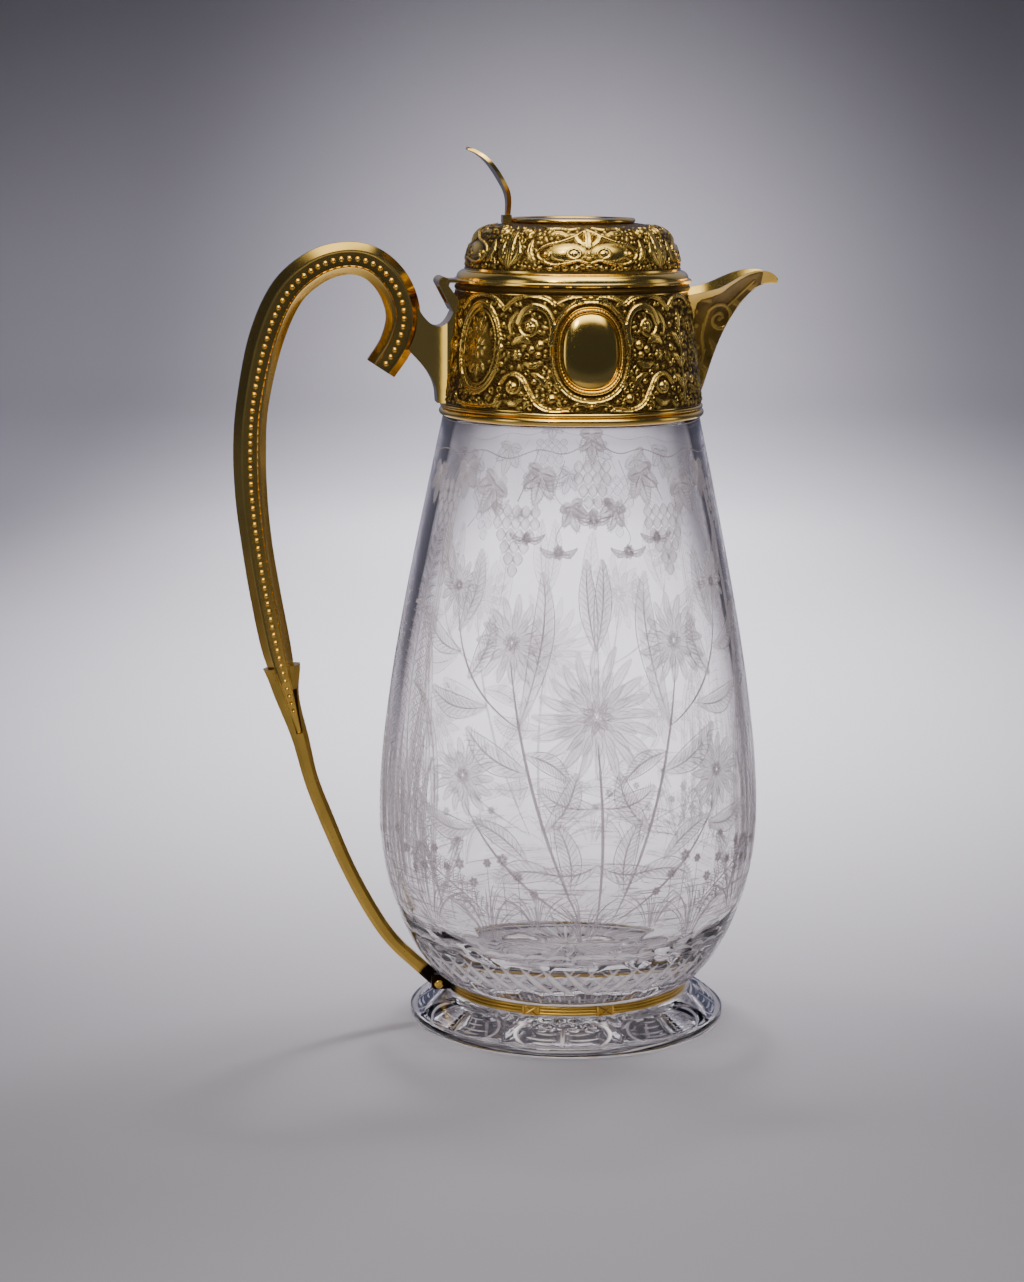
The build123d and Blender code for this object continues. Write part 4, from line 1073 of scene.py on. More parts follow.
def make_spout_skin(side):
    """Faint chasing on one side of the spout, whose wall is y = nose + (wing - nose) share^flare.

    Share is the height between keel and rim. Faces outside the wall are left out.
    """
    x = np.linspace(36.0, 63.0, 112)
    z = np.linspace(203.0, 246.4, 168)
    relief = Relief(x, z)
    relief.curl(((47.6, 231.0), 5.2, 2.6, -1.35, 0.22, 60), 1.2, 0.8)
    relief.straps(1, (((43.2, 233.4), (42.0, 226.0), (42.6, 219.5), (41.0, 213.5)), 30, 1.1, 0.7, False),
                  (((50.4, 235.4), (54.5, 239.2), (58.5, 243.0)), 30, 0.9, 0.7, False))
    relief.leaves(1, *((line, 2.4, 0.8, 4) for line in (
        ((44.6, 224.6), (46.6, 221.0), (46.4, 217.0)), ((41.6, 216.0), (43.8, 213.6), (43.6, 209.8)),
        ((51.8, 237.2), (53.6, 235.8), (54.8, 236.4)), ((43.4, 236.6), (41.4, 237.8), (39.0, 237.2)),
        ((56.2, 241.2), (58.6, 241.0), (60.2, 242.6)))))
    relief.beads(1, *((*place, 0.9, 0.7) for place in (
        (47.6, 231.0), (50.6, 228.2), (40.6, 222.0), (39.6, 229.0), (39.8, 211.0), (38.6, 233.6))))
    xx, zz = np.meshgrid(x, z)
    sections = len(SPOUT)
    low, rim, wing, flare = (np.interp(xx, SPOUT[:, 0], smooth_path(SPOUT[:, [0, k]], sections)[:, 1])
                             for k in (1, 2, 3, 4))
    share = np.clip((zz - low) / (rim - low), 0, 1)
    nose = 0.12 * wing
    border = (step(share, 0.06, 0.12) * (1 - step(share, 0.90, 0.95))
              * step(xx, 37.5, 39.0) * (1 - step(xx, 60.5, 62.0)))
    y = (nose + (wing - nose) * share**flare
         + 0.14 * border - 0.35 * (1 - border) + 0.42 * relief.height * border)
    points = np.stack([xx, side * y, zz], -1).reshape(-1, 3)
    inside = ((share > 0.05) & (share < 0.96) & (zz < rim) & (zz > low)
              & (np.hypot(xx, y) > collar_radius(zz) - 0.6))
    faces = grid_faces(len(z), len(x), flip=side > 0)
    faces = faces[inside.reshape(-1)[faces].all(1)]
    points, faces, mask = drop_unused(points, faces, 0.20 + 0.30 * relief.height)
    return put_mesh("spout_chasing_front" if side < 0 else "spout_chasing_rear", points, [faces], "jug",
                    attributes={"relief": mask}, sharp=70)


# ---------------------------------------------------------------- handle
SCROLL = np.array([
    # x, z and width
    (-61.7, 215.3, 10.2), (-56.6, 223.3, 10.6), (-54.5, 232.6, 10.9), (-57.6, 242.0, 10.9),
    (-64.4, 248.6, 10.5), (-73.0, 250.2, 10.3), (-82.6, 247.2, 10.8), (-91.6, 239.2, 11.0),
    (-98.2, 224.6, 11.0), (-102.6, 204.6, 10.2), (-103.7, 189.0, 10.4), (-103.2, 173.4, 10.2),
    (-101.5, 158.0, 9.8), (-99.0, 142.3, 9.9), (-95.6, 124.6, 9.4), (-92.2, 111.0, 5.9), (-88.6, 97.5, 2.2)])


def make_scroll(sizes):
    """Handle's bar: a bevelled section carried along the rolled line, square to it.

    The flat sides carry a shallow channel for the beads between two fine ridges.
    """
    line = smooth_path(SCROLL, 320)
    across = left_of(unit_tangent(line[:, :2]))
    ridge = sizes.ridge_height / MM
    a = np.array([0.50, 0.50, 0.50, 0.47, 0.285, 0.262, 0.235, 0.208, 0.18, 0.0,
                  -0.18, -0.208, -0.235, -0.262, -0.285, -0.47, -0.50, -0.50])
    b = np.array([0.0, 0.8, 1.35, 1.75, 3.75, 4.0 + ridge, 4.0 + ridge, 4.02, 4.0, 3.98,
                  4.0, 4.02, 4.0 + 0.3 * ridge, 4.0 + 0.3 * ridge, 3.75, 1.75, 1.35, 0.8])
    a = np.concatenate([a, [-0.50], a[1:][::-1]])
    b = np.concatenate([b, [0.0], -b[1:][::-1]])
    aa = line[:, 2:3] * a[None]
    bb = b[None] * np.minimum(1.0, 0.25 + line[:, 2:3] / 9.0)
    grid = np.stack([line[:, :1] + across[:, :1] * aa, bb, line[:, 1:2] + across[:, 1:2] * aa], -1)
    first, last = ((line[end, 0], 0, line[end, 1]) for end in (0, -1))
    points, faces = closed_grid(grid, first=first, last=last)
    worn = np.repeat((np.abs(np.abs(a) - 0.249) < 0.02).astype(float)[None], len(line), 0)
    relief = np.concatenate([(0.38 + 0.5 * worn).reshape(-1), [0.6, 0.6]])
    return put_mesh("handle_scroll_bar", points, faces, "jug", ["handle_scroll"],
                    attributes={"relief": relief}, sharp=28)


# ---------------------------------------------------------------- foot ring
def rod(path, radius, sides=8):
    """Round rod along a path: a circle square to the path at each point, closed by a point at each end."""
    path = np.asarray(path, float)
    along = np.gradient(path, axis=0)
    along /= np.linalg.norm(along, axis=1)[:, None]
    out = path * (1, 1, 0)
    out /= np.linalg.norm(out, axis=1)[:, None]
    over = np.cross(along, out)
    over /= np.linalg.norm(over, axis=1)[:, None]
    out = np.cross(over, along)
    a = np.linspace(0, 2 * np.pi, sides, endpoint=False)
    ring = out[:, None] * np.cos(a)[None, :, None] + over[:, None] * np.sin(a)[None, :, None]
    return closed_grid(path[:, None] + radius * ring, first=path[0], last=path[-1])


def make_ring_knots():
    """Crossed ribbons over the ring's four ties: two slanting rods between two upright ones."""
    ring_radius, ring_height = 40.4, 12.0
    points, faces, count = [], [], 0
    t = np.linspace(-1, 1, 12)
    for middle in np.radians((9.4, -25.0, 170.6, 205.0)):
        for lean, place in ((1, 0.0), (-1, 0.0), (0, -2.5), (0, 2.5)):
            aa = middle + (place + lean * 2.1 * t) / ring_radius
            radius = ring_radius + 0.05 + 0.12 * (1 - t * t) + (0.15 if lean > 0 else 0.0)
            p, f = rod(on_wall(aa, ring_height + 1.45 * t, radius), 0.34)
            points.append(p)
            faces += [part + count for part in f]
            count += len(p)
    quads = np.concatenate([f for f in faces if f.shape[1] == 4])
    fans = np.concatenate([f for f in faces if f.shape[1] == 3])
    return put_mesh("ring_knots", np.vstack(points), [quads, fans], "jug")


# ---------------------------------------------------------------- lid
DOME_FOOT = 247.3
CROWN_OUTSIDE, CROWN_INSIDE = 261.6, 260.5


def dome_profile(count):
    """Outside of the dome, (radius, z) from its foot to the edge of the crown, evenly spaced."""
    line = smooth_path([(34.3, DOME_FOOT), (32.8, 253.6), (30.8, 257.45), (28.3, 259.6), (24.0, 260.9),
                        (19.0, CROWN_OUTSIDE)], 400, start=(-0.5, 6.2))
    run = run_along(line)
    even = np.linspace(0, run[-1], count)
    return np.stack([np.interp(even, run, line[:, 0]), np.interp(even, run, line[:, 1])], -1), even


def dome_relief(u, v):
    """Ornament of a quarter of the dome: a curled strap round two eyes, a fleuron and leaf sprays."""
    relief = Relief(u, v)
    for side in (-1, 1):
        relief.straps(
            side,
            (((0.4, 14.0), (4.0, 11.6), (8.4, 9.6), (12.4, 8.6), (15.2, 7.2), (15.8, 5.0), (14.2, 3.6),
              (12.4, 4.2), (12.2, 5.8)), 60, 0.9, 0.95, False),
            (((0.3, 2.6), (3.4, 3.4), (7.0, 2.6), (10.8, 2.2), (14.2, 3.2)), 40, 0.9, 0.95, False),
            (((2.2, 16.2), (6.0, 14.8), (10.4, 15.6), (14.0, 15.2), (17.0, 16.8)), 30, 0.7, 0.7, False))
        relief.dome((side * 6.6, 6.2), 7.2, 3.2, 0.75)
        relief.oval((side * 4.6, 5.6), 2.0, 1.5, 0.6, 0.95, double=False)
        relief.beads(side, (4.6, 5.6, 1.0, 1.0), (13.6, 5.4, 0.9, 0.95), (20.8, 13.4, 0.7, 0.8),
                     (17.4, 14.6, 0.7, None))
        relief.leaves(
            side,
            (((0.8, 8.0), (3.4, 10.2), (4.4, 13.4)), 2.2, 0.85, 4),
            (((6.4, 11.8), (10.0, 13.0), (13.4, 12.0)), 2.4, 0.75, 4),
            (((16.6, 2.6), (18.8, 6.0), (18.2, 10.6)), 2.8, 0.85, 5),
            (((24.6, 2.0), (22.6, 5.6), (23.4, 10.0)), 2.8, 0.85, 5))
        relief.curl(((side * 20.8, 13.4), 2.2, math.pi / 2, side * 1.2, 0.3), 0.7, 0.75)
    relief.leaves(1, (((0, 6.6), (0, 11.0), (0, 16.4)), 3.6, 1.0, 5), count=14)
    relief.bead((0, 5.6), 0.8, 0.9)
    relief.rosette((0, 1.5), 1.3, 4, 0.7)
    for u0 in (-25.5, 25.5):
        relief.leaves(1, (((u0, 1.0), (u0, 7.5), (u0, 14.5)), 2.6, 0.8, 6), count=14)
        relief.leaves(1, *((((u0, 2.0), (u0 + lean * 1.6, 4.6), (u0 + lean * 1.2, 8.0)), 1.5, 0.7, 3)
                           for lean in (-1, 1)), count=10)
    fill_ground(relief, 7, 1.6, (0.6, 1.2), (25.2, 17.0))
    return relief


def make_dome(sizes):
    """Chased dome: the outside is pushed out by the ornament, four times round; the inside is plain."""
    columns, rows = 776, 92
    profile, along = dome_profile(rows)
    quarter = 2 * math.pi * 33.0 / 4
    repeat = columns // 4
    u = (np.arange(repeat) + 0.5) / repeat * quarter - quarter / 2
    fade = step(along, 0.0, 0.8) * (1 - step(along, along[-1] - 1.0, along[-1]))
    height = np.tile(dome_relief(u, along).height, (1, 4)) * fade[:, None]
    tangent = unit_tangent(profile)
    push = sizes.relief_depth / MM * height
    chased = np.stack([profile[:, :1] + push * tangent[:, 1:], profile[:, 1:] - push * tangent[:, :1]], -1)
    crown = np.array([(12.0, CROWN_OUTSIDE), (4.0, CROWN_OUTSIDE)])
    inner = np.array([(4.0, CROWN_INSIDE), (18.6, CROWN_INSIDE), (26.9, 258.6), (29.4, 256.6), (31.8, 253.0),
                      (33.2, DOME_FOOT)])
    plain = np.repeat(np.vstack([crown, inner])[:, None], columns, 1)
    rings = np.concatenate([chased, plain])
    angle = (np.arange(columns) + 0.5) / columns * 2 * math.pi - math.pi / 4
    grid = on_wall(np.repeat(angle[None], len(rings), 0), rings[..., 1], rings[..., 0])
    top = len(rings) * columns
    points = np.vstack([grid.reshape(-1, 3), [[0, 0, CROWN_OUTSIDE], [0, 0, CROWN_INSIDE]]])
    outer_rows = rows + len(crown)
    inner_row = outer_rows * columns
    faces = [
        grid_faces(outer_rows, columns, wrap=True),
        grid_faces(len(inner), columns, wrap=True, offset=inner_row),
        fan(top, inner_row - columns, columns),
        fan(top + 1, inner_row, columns, flip=True),
        join_rings(top - columns, 0, columns),
    ]
    mask = np.full(len(points), 0.6)
    mask[: rows * columns] = height.reshape(-1)
    return put_mesh("lid_dome_chased", points, faces, "lid", ["lid_dome"],
                    attributes={"relief": mask}, sharp=70)


# ---------------------------------------------------------------- materials
class Nodes:
    """Short ways to add and join nodes in a tree."""

    def __init__(self, tree):
        self.tree = tree

    def fill(self, socket, value):
        """Joins a socket to another one, or gives it a plain value."""
        if isinstance(value, bpy.types.NodeSocket):
            self.tree.links.new(value, socket)
        else:
            socket.default_value = value

    def add(self, kind, values=None, **settings):
        node = self.tree.nodes.new(kind)
        for key, value in settings.items():
            setattr(node, key, value)
        for key, value in (values or {}).items():
            self.fill(node.inputs[key], value)
        return node

    def math(self, operation, a, b=0.0, clamp=False):
        return self.add("ShaderNodeMath", {0: a, 1: b}, operation=operation, use_clamp=clamp).outputs[0]

    def times(self, a, b, clamp=False):
        return self.math("MULTIPLY", a, b, clamp)

    def plus(self, a, b, clamp=False):
        return self.math("ADD", a, b, clamp)

    def minus(self, a, b, clamp=False):
        return self.math("SUBTRACT", a, b, clamp)

    def mix(self, factor, a, b):
        return self.add("ShaderNodeMix", {0: factor, 6: a, 7: b}, data_type="RGBA").outputs[2]

    def vector(self, operation, a, b=(0, 0, 0), output="Vector"):
        return self.add("ShaderNodeVectorMath", {0: a, 1: b}, operation=operation).outputs[output]

    def place(self):
        """Place in the piece's own frame, in metres."""
        return self.add("ShaderNodeTexCoord").outputs["Object"]

    def noise(self, scale, detail, roughness=0.5):
        return self.add("ShaderNodeTexNoise", {
            "Vector": self.place(), "Scale": scale, "Detail": detail, "Roughness": roughness}).outputs[0]

    def rise(self, value, low, high, bottom=0.0, top=1.0):
        """Smooth rise from bottom to top while the value goes from low to high."""
        return self.add("ShaderNodeMapRange", {
            "Value": value, "From Min": low, "From Max": high, "To Min": bottom, "To Max": top,
        }, interpolation_type="SMOOTHSTEP").outputs[0]

    def attribute(self, name):
        return self.add("ShaderNodeAttribute", attribute_name=name).outputs["Fac"]

    def bump(self, height, distance):
        return self.add("ShaderNodeBump", {
            "Strength": 1.0, "Distance": distance, "Height": height}).outputs[0]

    def surface(self, shader):
        self.add("ShaderNodeOutputMaterial", {"Surface": shader})

    def principled(self, values):
        return self.add("ShaderNodeBsdfPrincipled", values).outputs[0]


def node_group(name, inputs, outputs, build):
    """Shader node group with named sockets, made once."""
    group = bpy.data.node_groups.get(name)
    if group:
        return group
    group = bpy.data.node_groups.new(name, "ShaderNodeTree")
    for label, kind, default in inputs:
        socket = group.interface.new_socket(label, in_out="INPUT", socket_type=kind)
        socket.default_value = default
    for label, kind in outputs:
        group.interface.new_socket(label, in_out="OUTPUT", socket_type=kind)
    n = Nodes(group)
    entry = n.add("NodeGroupInput")
    leave = n.add("NodeGroupOutput")
    for label, socket in build(n, entry.outputs).items():
        group.links.new(socket, leave.inputs[label])
    return group


def gilding_group():
    """Colour and roughness of gilding: clean where high and rubbed, brown in the hollows as patina, faintly
    clouded; a high age on low ground also paints shade over a whole piece.
    """
    def build(n, given):
        cloud = n.noise(90.0, 5.0, 0.6)
        fine = n.noise(1400.0, 3.0, 0.7)
        low = n.minus(1.0, n.math("DIVIDE", given["Height"], 0.58, clamp=True), clamp=True)
        stain = n.times(n.minus(cloud, 0.42), 1.6, clamp=True)
        grime_and_shade = n.plus(n.times(low, 0.85), n.times(stain, 0.45))
        # a high age on low ground turns this darkening into painted shade as well as patina
        grime_and_shade = n.times(grime_and_shade, given["Age"], clamp=True)
        shade = n.mix(grime_and_shade, given["Clean"], given["Old"])
        rough = n.plus(given["Roughness"], n.times(grime_and_shade, 0.22))
        rough = n.plus(rough, n.times(n.minus(fine, 0.5), 0.16), clamp=True)
        return {"Colour": shade, "Roughness": rough, "Grime and shade": grime_and_shade}

    return node_group("Gilding", [
        ("Clean", "NodeSocketColor", (0.89, 0.565, 0.095, 1)),
        ("Old", "NodeSocketColor", (0.13, 0.072, 0.014, 1)), ("Height", "NodeSocketFloat", 0.6),
        ("Age", "NodeSocketFloat", 0.6), ("Roughness", "NodeSocketFloat", 0.2),
    ], [("Colour", "NodeSocketColor"), ("Roughness", "NodeSocketFloat"), ("Grime and shade", "NodeSocketFloat")], build)


def matting_group():
    """Height of a ground punched full of small round dots, with faint hammer marks all over."""
    def build(n, given):
        dots = n.add("ShaderNodeTexVoronoi", {"Vector": n.place(), "Scale": given["Dots"]}, feature="F1")
        pits = n.times(dots.outputs["Distance"], 1.6, clamp=True)
        pits = n.times(pits, given["Depth"])
        low = n.minus(1.0, n.math("DIVIDE", given["Height"], 0.3, clamp=True), clamp=True)
        hammer = n.times(n.noise(420.0, 3.0), given["Hammer"])
        return {"Relief": n.plus(n.times(pits, low), hammer)}

    return node_group("Matting", [
        ("Height", "NodeSocketFloat", 0.0), ("Dots", "NodeSocketFloat", 1500.0),
        ("Depth", "NodeSocketFloat", 1.0), ("Hammer", "NodeSocketFloat", 0.15),
    ], [("Relief", "NodeSocketFloat")], build)


def rgba(value, scale=1.0):
    return (*(np.array(value) * scale), 1.0)


def new_material(name):
    material = bpy.data.materials.new(name)
    material.use_nodes = True
    material.node_tree.nodes.clear()
    return material, Nodes(material.node_tree)


SCREW = (-0.0442, 0.0, 0.0128)


def gilt(colours, name, roughness, age, dots_depth=0.0, hammer=0.1, attribute=None, height=0.6, bump=0.00012,
         pivot=False):
    """Gilded silver: patina from its height above the ground, matting in the ground and faint hammering. A
    high age on a low height darkens a whole piece, which paints shade.

    With pivot, the age grows towards the foot screw, where dirt stays.
    """
    material, n = new_material(name)
    level = n.attribute(attribute) if attribute else 0.3 if pivot else height
    if pivot:
        off = n.vector("DISTANCE", n.vector("MULTIPLY", n.place(), (1, 0, 1)), SCREW, "Value")
        age = n.rise(off, 0.0066, 0.0044, 0.6, 4.0)
    gilding = n.add("ShaderNodeGroup", node_tree=gilding_group())
    matting = n.add("ShaderNodeGroup", node_tree=matting_group())
    old = rgba(colours.old_gilding_and_shade, 0.2 if pivot else 1.0)
    for group, values in (
            (gilding, {"Clean": rgba(colours.gilding), "Old": old, "Age": age, "Roughness": roughness,
                       "Height": level}),
            (matting, {"Depth": dots_depth, "Hammer": hammer, "Height": level})):
        for key, value in values.items():
            n.fill(group.inputs[key], value)
    n.surface(n.principled({
        "Base Color": gilding.outputs["Colour"], "Roughness": gilding.outputs["Roughness"],
        "Normal": n.bump(matting.outputs["Relief"], bump), "Metallic": 1.0}))
    return material


def clear_glass(colours):
    """Clear glass, faintly wavy as a blown and cut wall is, with painted shade that deepens its tint where it
    is seen edge on.
    """
    material, n = new_material("clear_cut_glass")
    wave = n.plus(n.noise(34.0, 2.0), n.times(n.noise(700.0, 2.0), 0.03))
    # painted shade: the tint darkens towards the silhouette, for the dark edges of the glass
    grazing = n.add("ShaderNodeLayerWeight", {"Blend": 0.5}).outputs["Facing"]
    shade = n.mix(n.rise(grazing, 0.5, 0.95), rgba(colours.glass), rgba(colours.glass, (0.74, 0.67, 0.70)))
    shader = n.principled({
        "Base Color": shade, "Roughness": 0.02, "Metallic": 0.0, "Transmission Weight": 1.0, "IOR": 1.4,
        "Normal": n.bump(wave, 0.00008)})
    clear = n.add("ShaderNodeBsdfTransparent", {"Color": (0.94, 0.935, 0.94, 1)}).outputs[0]
    shadow = n.add("ShaderNodeLightPath").outputs["Is Shadow Ray"]
    n.surface(n.add("ShaderNodeMixShader", {0: shadow, 1: shader, 2: clear}).outputs[0])
    return material


def engraving_material(colours, name, mirror=0.0):
    """Wheel-cut glass: pale frosting and darker strokes, half see-through and softer at their edges.

    Polished cuts throw light back as a mirror does, so theirs is partly metallic.
    """
    material, n = new_material(name)
    across, tone, frost = (n.attribute(key) for key in ("across", "tone", "frost"))
    middle = n.times(across, n.minus(1.0, across))
    middle = n.times(middle, 7.0, clamp=True)
    weight = n.plus(n.times(frost, -0.05 if mirror else -0.45), 0.88)
    behind = n.add("ShaderNodeNewGeometry").outputs["Backfacing"]
    weight = n.times(weight, n.minus(1.0, n.times(behind, 0.55)))
    grain = n.plus(n.times(n.noise(2600.0, 2.0), 0.6), 0.7)
    cover = n.times(n.times(middle, tone), n.times(weight, grain), clamp=True)
    # the same colours paint the dark streaks and pale glints of refraction on the foot and round the base
    n.surface(n.principled({
        "Base Color": n.mix(frost, rgba(colours.engraving), rgba(colours.frosting)),
        "Roughness": 0.35 if mirror else 0.9, "Metallic": mirror, "Alpha": cover}))
    return material


def plaster_material(colours):
    """Set plaster: pale and rough, with a little grit."""
    material, n = new_material("set_plaster")
    grit = n.noise(900.0, 4.0)
    n.surface(n.principled({
        "Base Color": n.mix(grit, rgba(colours.plaster, 0.82), rgba(colours.plaster)),
        "Roughness": n.plus(0.8, n.times(grit, 0.15)), "Normal": n.bump(grit, 0.0001)}))
    return material


def floor_material(colours):
    """Smooth pale paper with painted shade: darker up the wall and to both sides, where the light falls off.
    """
    material, n = new_material("pale_floor")
    shade = n.mix(n.noise(14.0, 3.0), rgba(colours.floor, 0.985), rgba(colours.floor, 1.015))
    axes = n.add("ShaderNodeSeparateXYZ", {0: n.place()}).outputs
    # painted shade: darker to both sides of the line the camera looks along and up the wall, for the light
    # falling off
    off = n.math("ABSOLUTE", n.minus(axes["X"], n.times(axes["Y"], 0.155)))
    shade = n.mix(n.rise(off, 0.0, 0.5, 0.0, 0.8), shade, rgba(colours.floor, (0.10, 0.095, 0.12)))
    shade = n.mix(n.rise(axes["Z"], 0.0, 0.6, 0.0, 0.8), shade, rgba(colours.floor, (0.12, 0.115, 0.135)))
    n.surface(n.principled({"Base Color": shade, "Roughness": 0.75}))
    return material


def coat(piece, material):
    """Gives a piece or a CAD node one material."""
    if not piece.material_slots:
        piece.data.materials.append(material)
    for slot in piece.material_slots:
        slot.link = "OBJECT"
        slot.material = material


def finish_for(name):
    """A material of this scene, made the first time it is asked for."""
    found = bpy.data.materials.get(name)
    if found:
        return found
    colours = bpy.context.scene.jug_colours
    makers = {
        "clear_cut_glass": lambda: clear_glass(colours),
        "wheel_engraving_and_painted_refraction": lambda: engraving_material(colours, name),
        "polished_cuts_and_painted_refraction": lambda: engraving_material(colours, name, 0.85),
        "set_plaster": lambda: plaster_material(colours),
        "pale_floor": lambda: floor_material(colours),
        "polished_gilding": lambda: gilt(colours, name, 0.15, 0.30, hammer=0.08),
        "worn_gilding": lambda: gilt(colours, name, 0.20, 0.55, hammer=0.2),
        "chased_gilding": lambda: gilt(
            colours, name, 0.20, 1.15, 1.6, 0.15, attribute="relief", bump=0.00022),
        "spout_gilding": lambda: gilt(colours, name, 0.26, 1.25, 0.6, 0.12, attribute="relief"),
        # painted shade: dark old gilding over the whole piece, for the shadow under the lid's flange
        "painted_shade_gilding": lambda: gilt(colours, name, 0.3, 3.0, hammer=0.2, height=0.1),
        "pivot_gilding": lambda: gilt(colours, name, 0.24, 0.6, hammer=0.2, pivot=True),
        "moulded_gilding": lambda: gilt(colours, name, 0.13, 0.75, 0.0, 0.06, attribute="relief"),
    }
    return makers[name]()


def coat_nodes(material, *names):
    for name in names:
        coat(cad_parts[name], finish_for(material))


# ---------------------------------------------------------------- stage
PAPER = -0.2  # height of the paper, just clear of the glass


def make_ground(name, path, sides=128):
    """Ground turned round the axis from a profile of (radius, height); the first point may be the middle."""
    path = np.asarray(path, float)
    grid = turned(path, sides)
    points, faces = closed_grid(grid, first=(0, 0, path[0, 1]) if path[0, 0] < 1 else None)
    mesh = bpy.data.meshes.new(name)
    mesh.from_pydata((points * MM).tolist(), [], [f[::-1] for part in faces for f in part.tolist()])
    mesh.polygons.foreach_set("use_smooth", np.ones(len(mesh.polygons), bool))
    ground = bpy.data.objects.new(name, mesh)
    bpy.context.scene.collection.objects.link(ground)
    return ground


def aim(place, target):
    """Matrix of a lamp at a place that faces a target: -Z points at it and +Y is up."""
    forward = np.asarray(target, float) - np.asarray(place, float)
    forward /= np.linalg.norm(forward)
    right = np.cross(forward, (0, 0, 1))
    right /= np.linalg.norm(right)
    matrix = np.eye(4)
    matrix[:3] = np.stack([right, np.cross(right, forward), -forward, place], -1)
    return Matrix(matrix.tolist())


def add_light(name, place, target, size, power, tint=(1, 1, 1), kind="AREA", cone=60, edge=1.0):
    """Soft light that faces a target: a rectangle, or a round pool with a soft edge.

    Metal doesn't mirror it, and it isn't seen through glass.
    """
    lamp = bpy.data.lights.new(name, kind)
    if kind == "AREA":
        lamp.shape, lamp.size, lamp.size_y = "RECTANGLE", size[0], size[1]
    else:
        lamp.shadow_soft_size, lamp.spot_size, lamp.spot_blend = size[0], math.radians(cone), edge
    lamp.energy, lamp.color = power, tint
    light = bpy.data.objects.new(name, lamp)
    light.matrix_world = aim(place, target)
    light.visible_glossy = False
    light.visible_transmission = False
    bpy.context.scene.collection.objects.link(light)


def softbox_group():
    """Mask of a soft-edged bright panel: both sideways slopes from its middle are within its size."""
    def build(n, given):
        ahead = n.vector("DOT_PRODUCT", given["Direction"], given["Ahead"], "Value")
        side = n.vector("NORMALIZE", n.vector("CROSS_PRODUCT", given["Ahead"], (0, 0, 1)))
        over = n.vector("CROSS_PRODUCT", side, given["Ahead"])
        mask = n.math("GREATER_THAN", ahead, 0.05)
        for axis, size in ((side, "Width"), (over, "Height")):
            part = n.vector("DOT_PRODUCT", given["Direction"], axis, "Value")
            slope = n.math("ABSOLUTE", n.math("DIVIDE", part, ahead))
            outside, inside = (n.times(given[size], n.math(way, 1.0, given["Softness"]))
                               for way in ("ADD", "SUBTRACT"))
            mask = n.times(mask, n.rise(slope, outside, inside))
        return {"Mask": mask}

    return node_group("Softbox", [
        ("Direction", "NodeSocketVector", (0, 0, 1)), ("Ahead", "NodeSocketVector", (0, 0, 1)),
        ("Width", "NodeSocketFloat", 0.5), ("Height", "NodeSocketFloat", 0.5),
        ("Softness", "NodeSocketFloat", 0.3),
    ], [("Mask", "NodeSocketFloat")], build)


SOFTBOXES = (
    # azimuth and elevation in degrees, half-width, half-height, softness, brightness
    (2, 50, 0.64, 0.28, 0.5, 4.1),
    (-26, 33, 0.07, 0.07, 0.4, 16.0),
    (-66, 6, 0.14, 0.3, 0.6, 1.6),
    (86, 4, 0.14, 0.3, 0.6, 0.9),
    (-10, 80, 0.45, 0.5, 0.4, 2.9),
    (176, 30, 1.4, 0.5, 0.6, 0.28),
)


def make_world():
    """Surroundings: metal mirrors a dark room with bright panels, and glass holds a pale one."""
    world = bpy.data.worlds.new("studio")
    bpy.context.scene.world = world
    world.use_nodes = True
    world.node_tree.nodes.clear()
    n = Nodes(world.node_tree)
    direction = n.add("ShaderNodeTexCoord").outputs["Generated"]
    height = n.add("ShaderNodeSeparateXYZ", {0: direction}).outputs["Z"]
    total = n.rise(height, 0.04, -0.12, 0.05, 0.10)
    for azimuth, elevation, width, tall, softness, power in SOFTBOXES:
        a, e = math.radians(azimuth), math.radians(elevation)
        ahead = (math.sin(a) * math.cos(e), -math.cos(a) * math.cos(e), math.sin(e))
        panel = n.add("ShaderNodeGroup", node_tree=softbox_group())
        for key, value in (("Direction", direction), ("Ahead", ahead), ("Width", width), ("Height", tall),
                           ("Softness", softness)):
            n.fill(panel.inputs[key], value)
        total = n.plus(total, n.times(panel.outputs["Mask"], power))
    tint = n.mix(n.times(total, 1.5, clamp=True), (0.88, 1.03, 1.9, 1), (1.0, 0.985, 0.96, 1))
    mirrored_room = n.add("ShaderNodeBackground", {"Color": tint, "Strength": total})
    pale_room = n.add("ShaderNodeBackground", {"Color": (0.60, 0.58, 0.68, 1), "Strength": 0.16})
    room_in_glass = n.add("ShaderNodeBackground", {"Color": (0.86, 0.83, 0.85, 1), "Strength": 0.72})
    path = n.add("ShaderNodeLightPath")
    both = n.add("ShaderNodeMixShader", {
        0: path.outputs["Is Glossy Ray"], 1: pale_room.outputs[0], 2: mirrored_room.outputs[0]})
    inside = n.math("GREATER_THAN", path.outputs["Transmission Depth"], 0.5)
    every = n.add("ShaderNodeMixShader", {0: inside, 1: both.outputs[0], 2: room_in_glass.outputs[0]})
    n.add("ShaderNodeOutputWorld", {"Surface": every.outputs[0]})


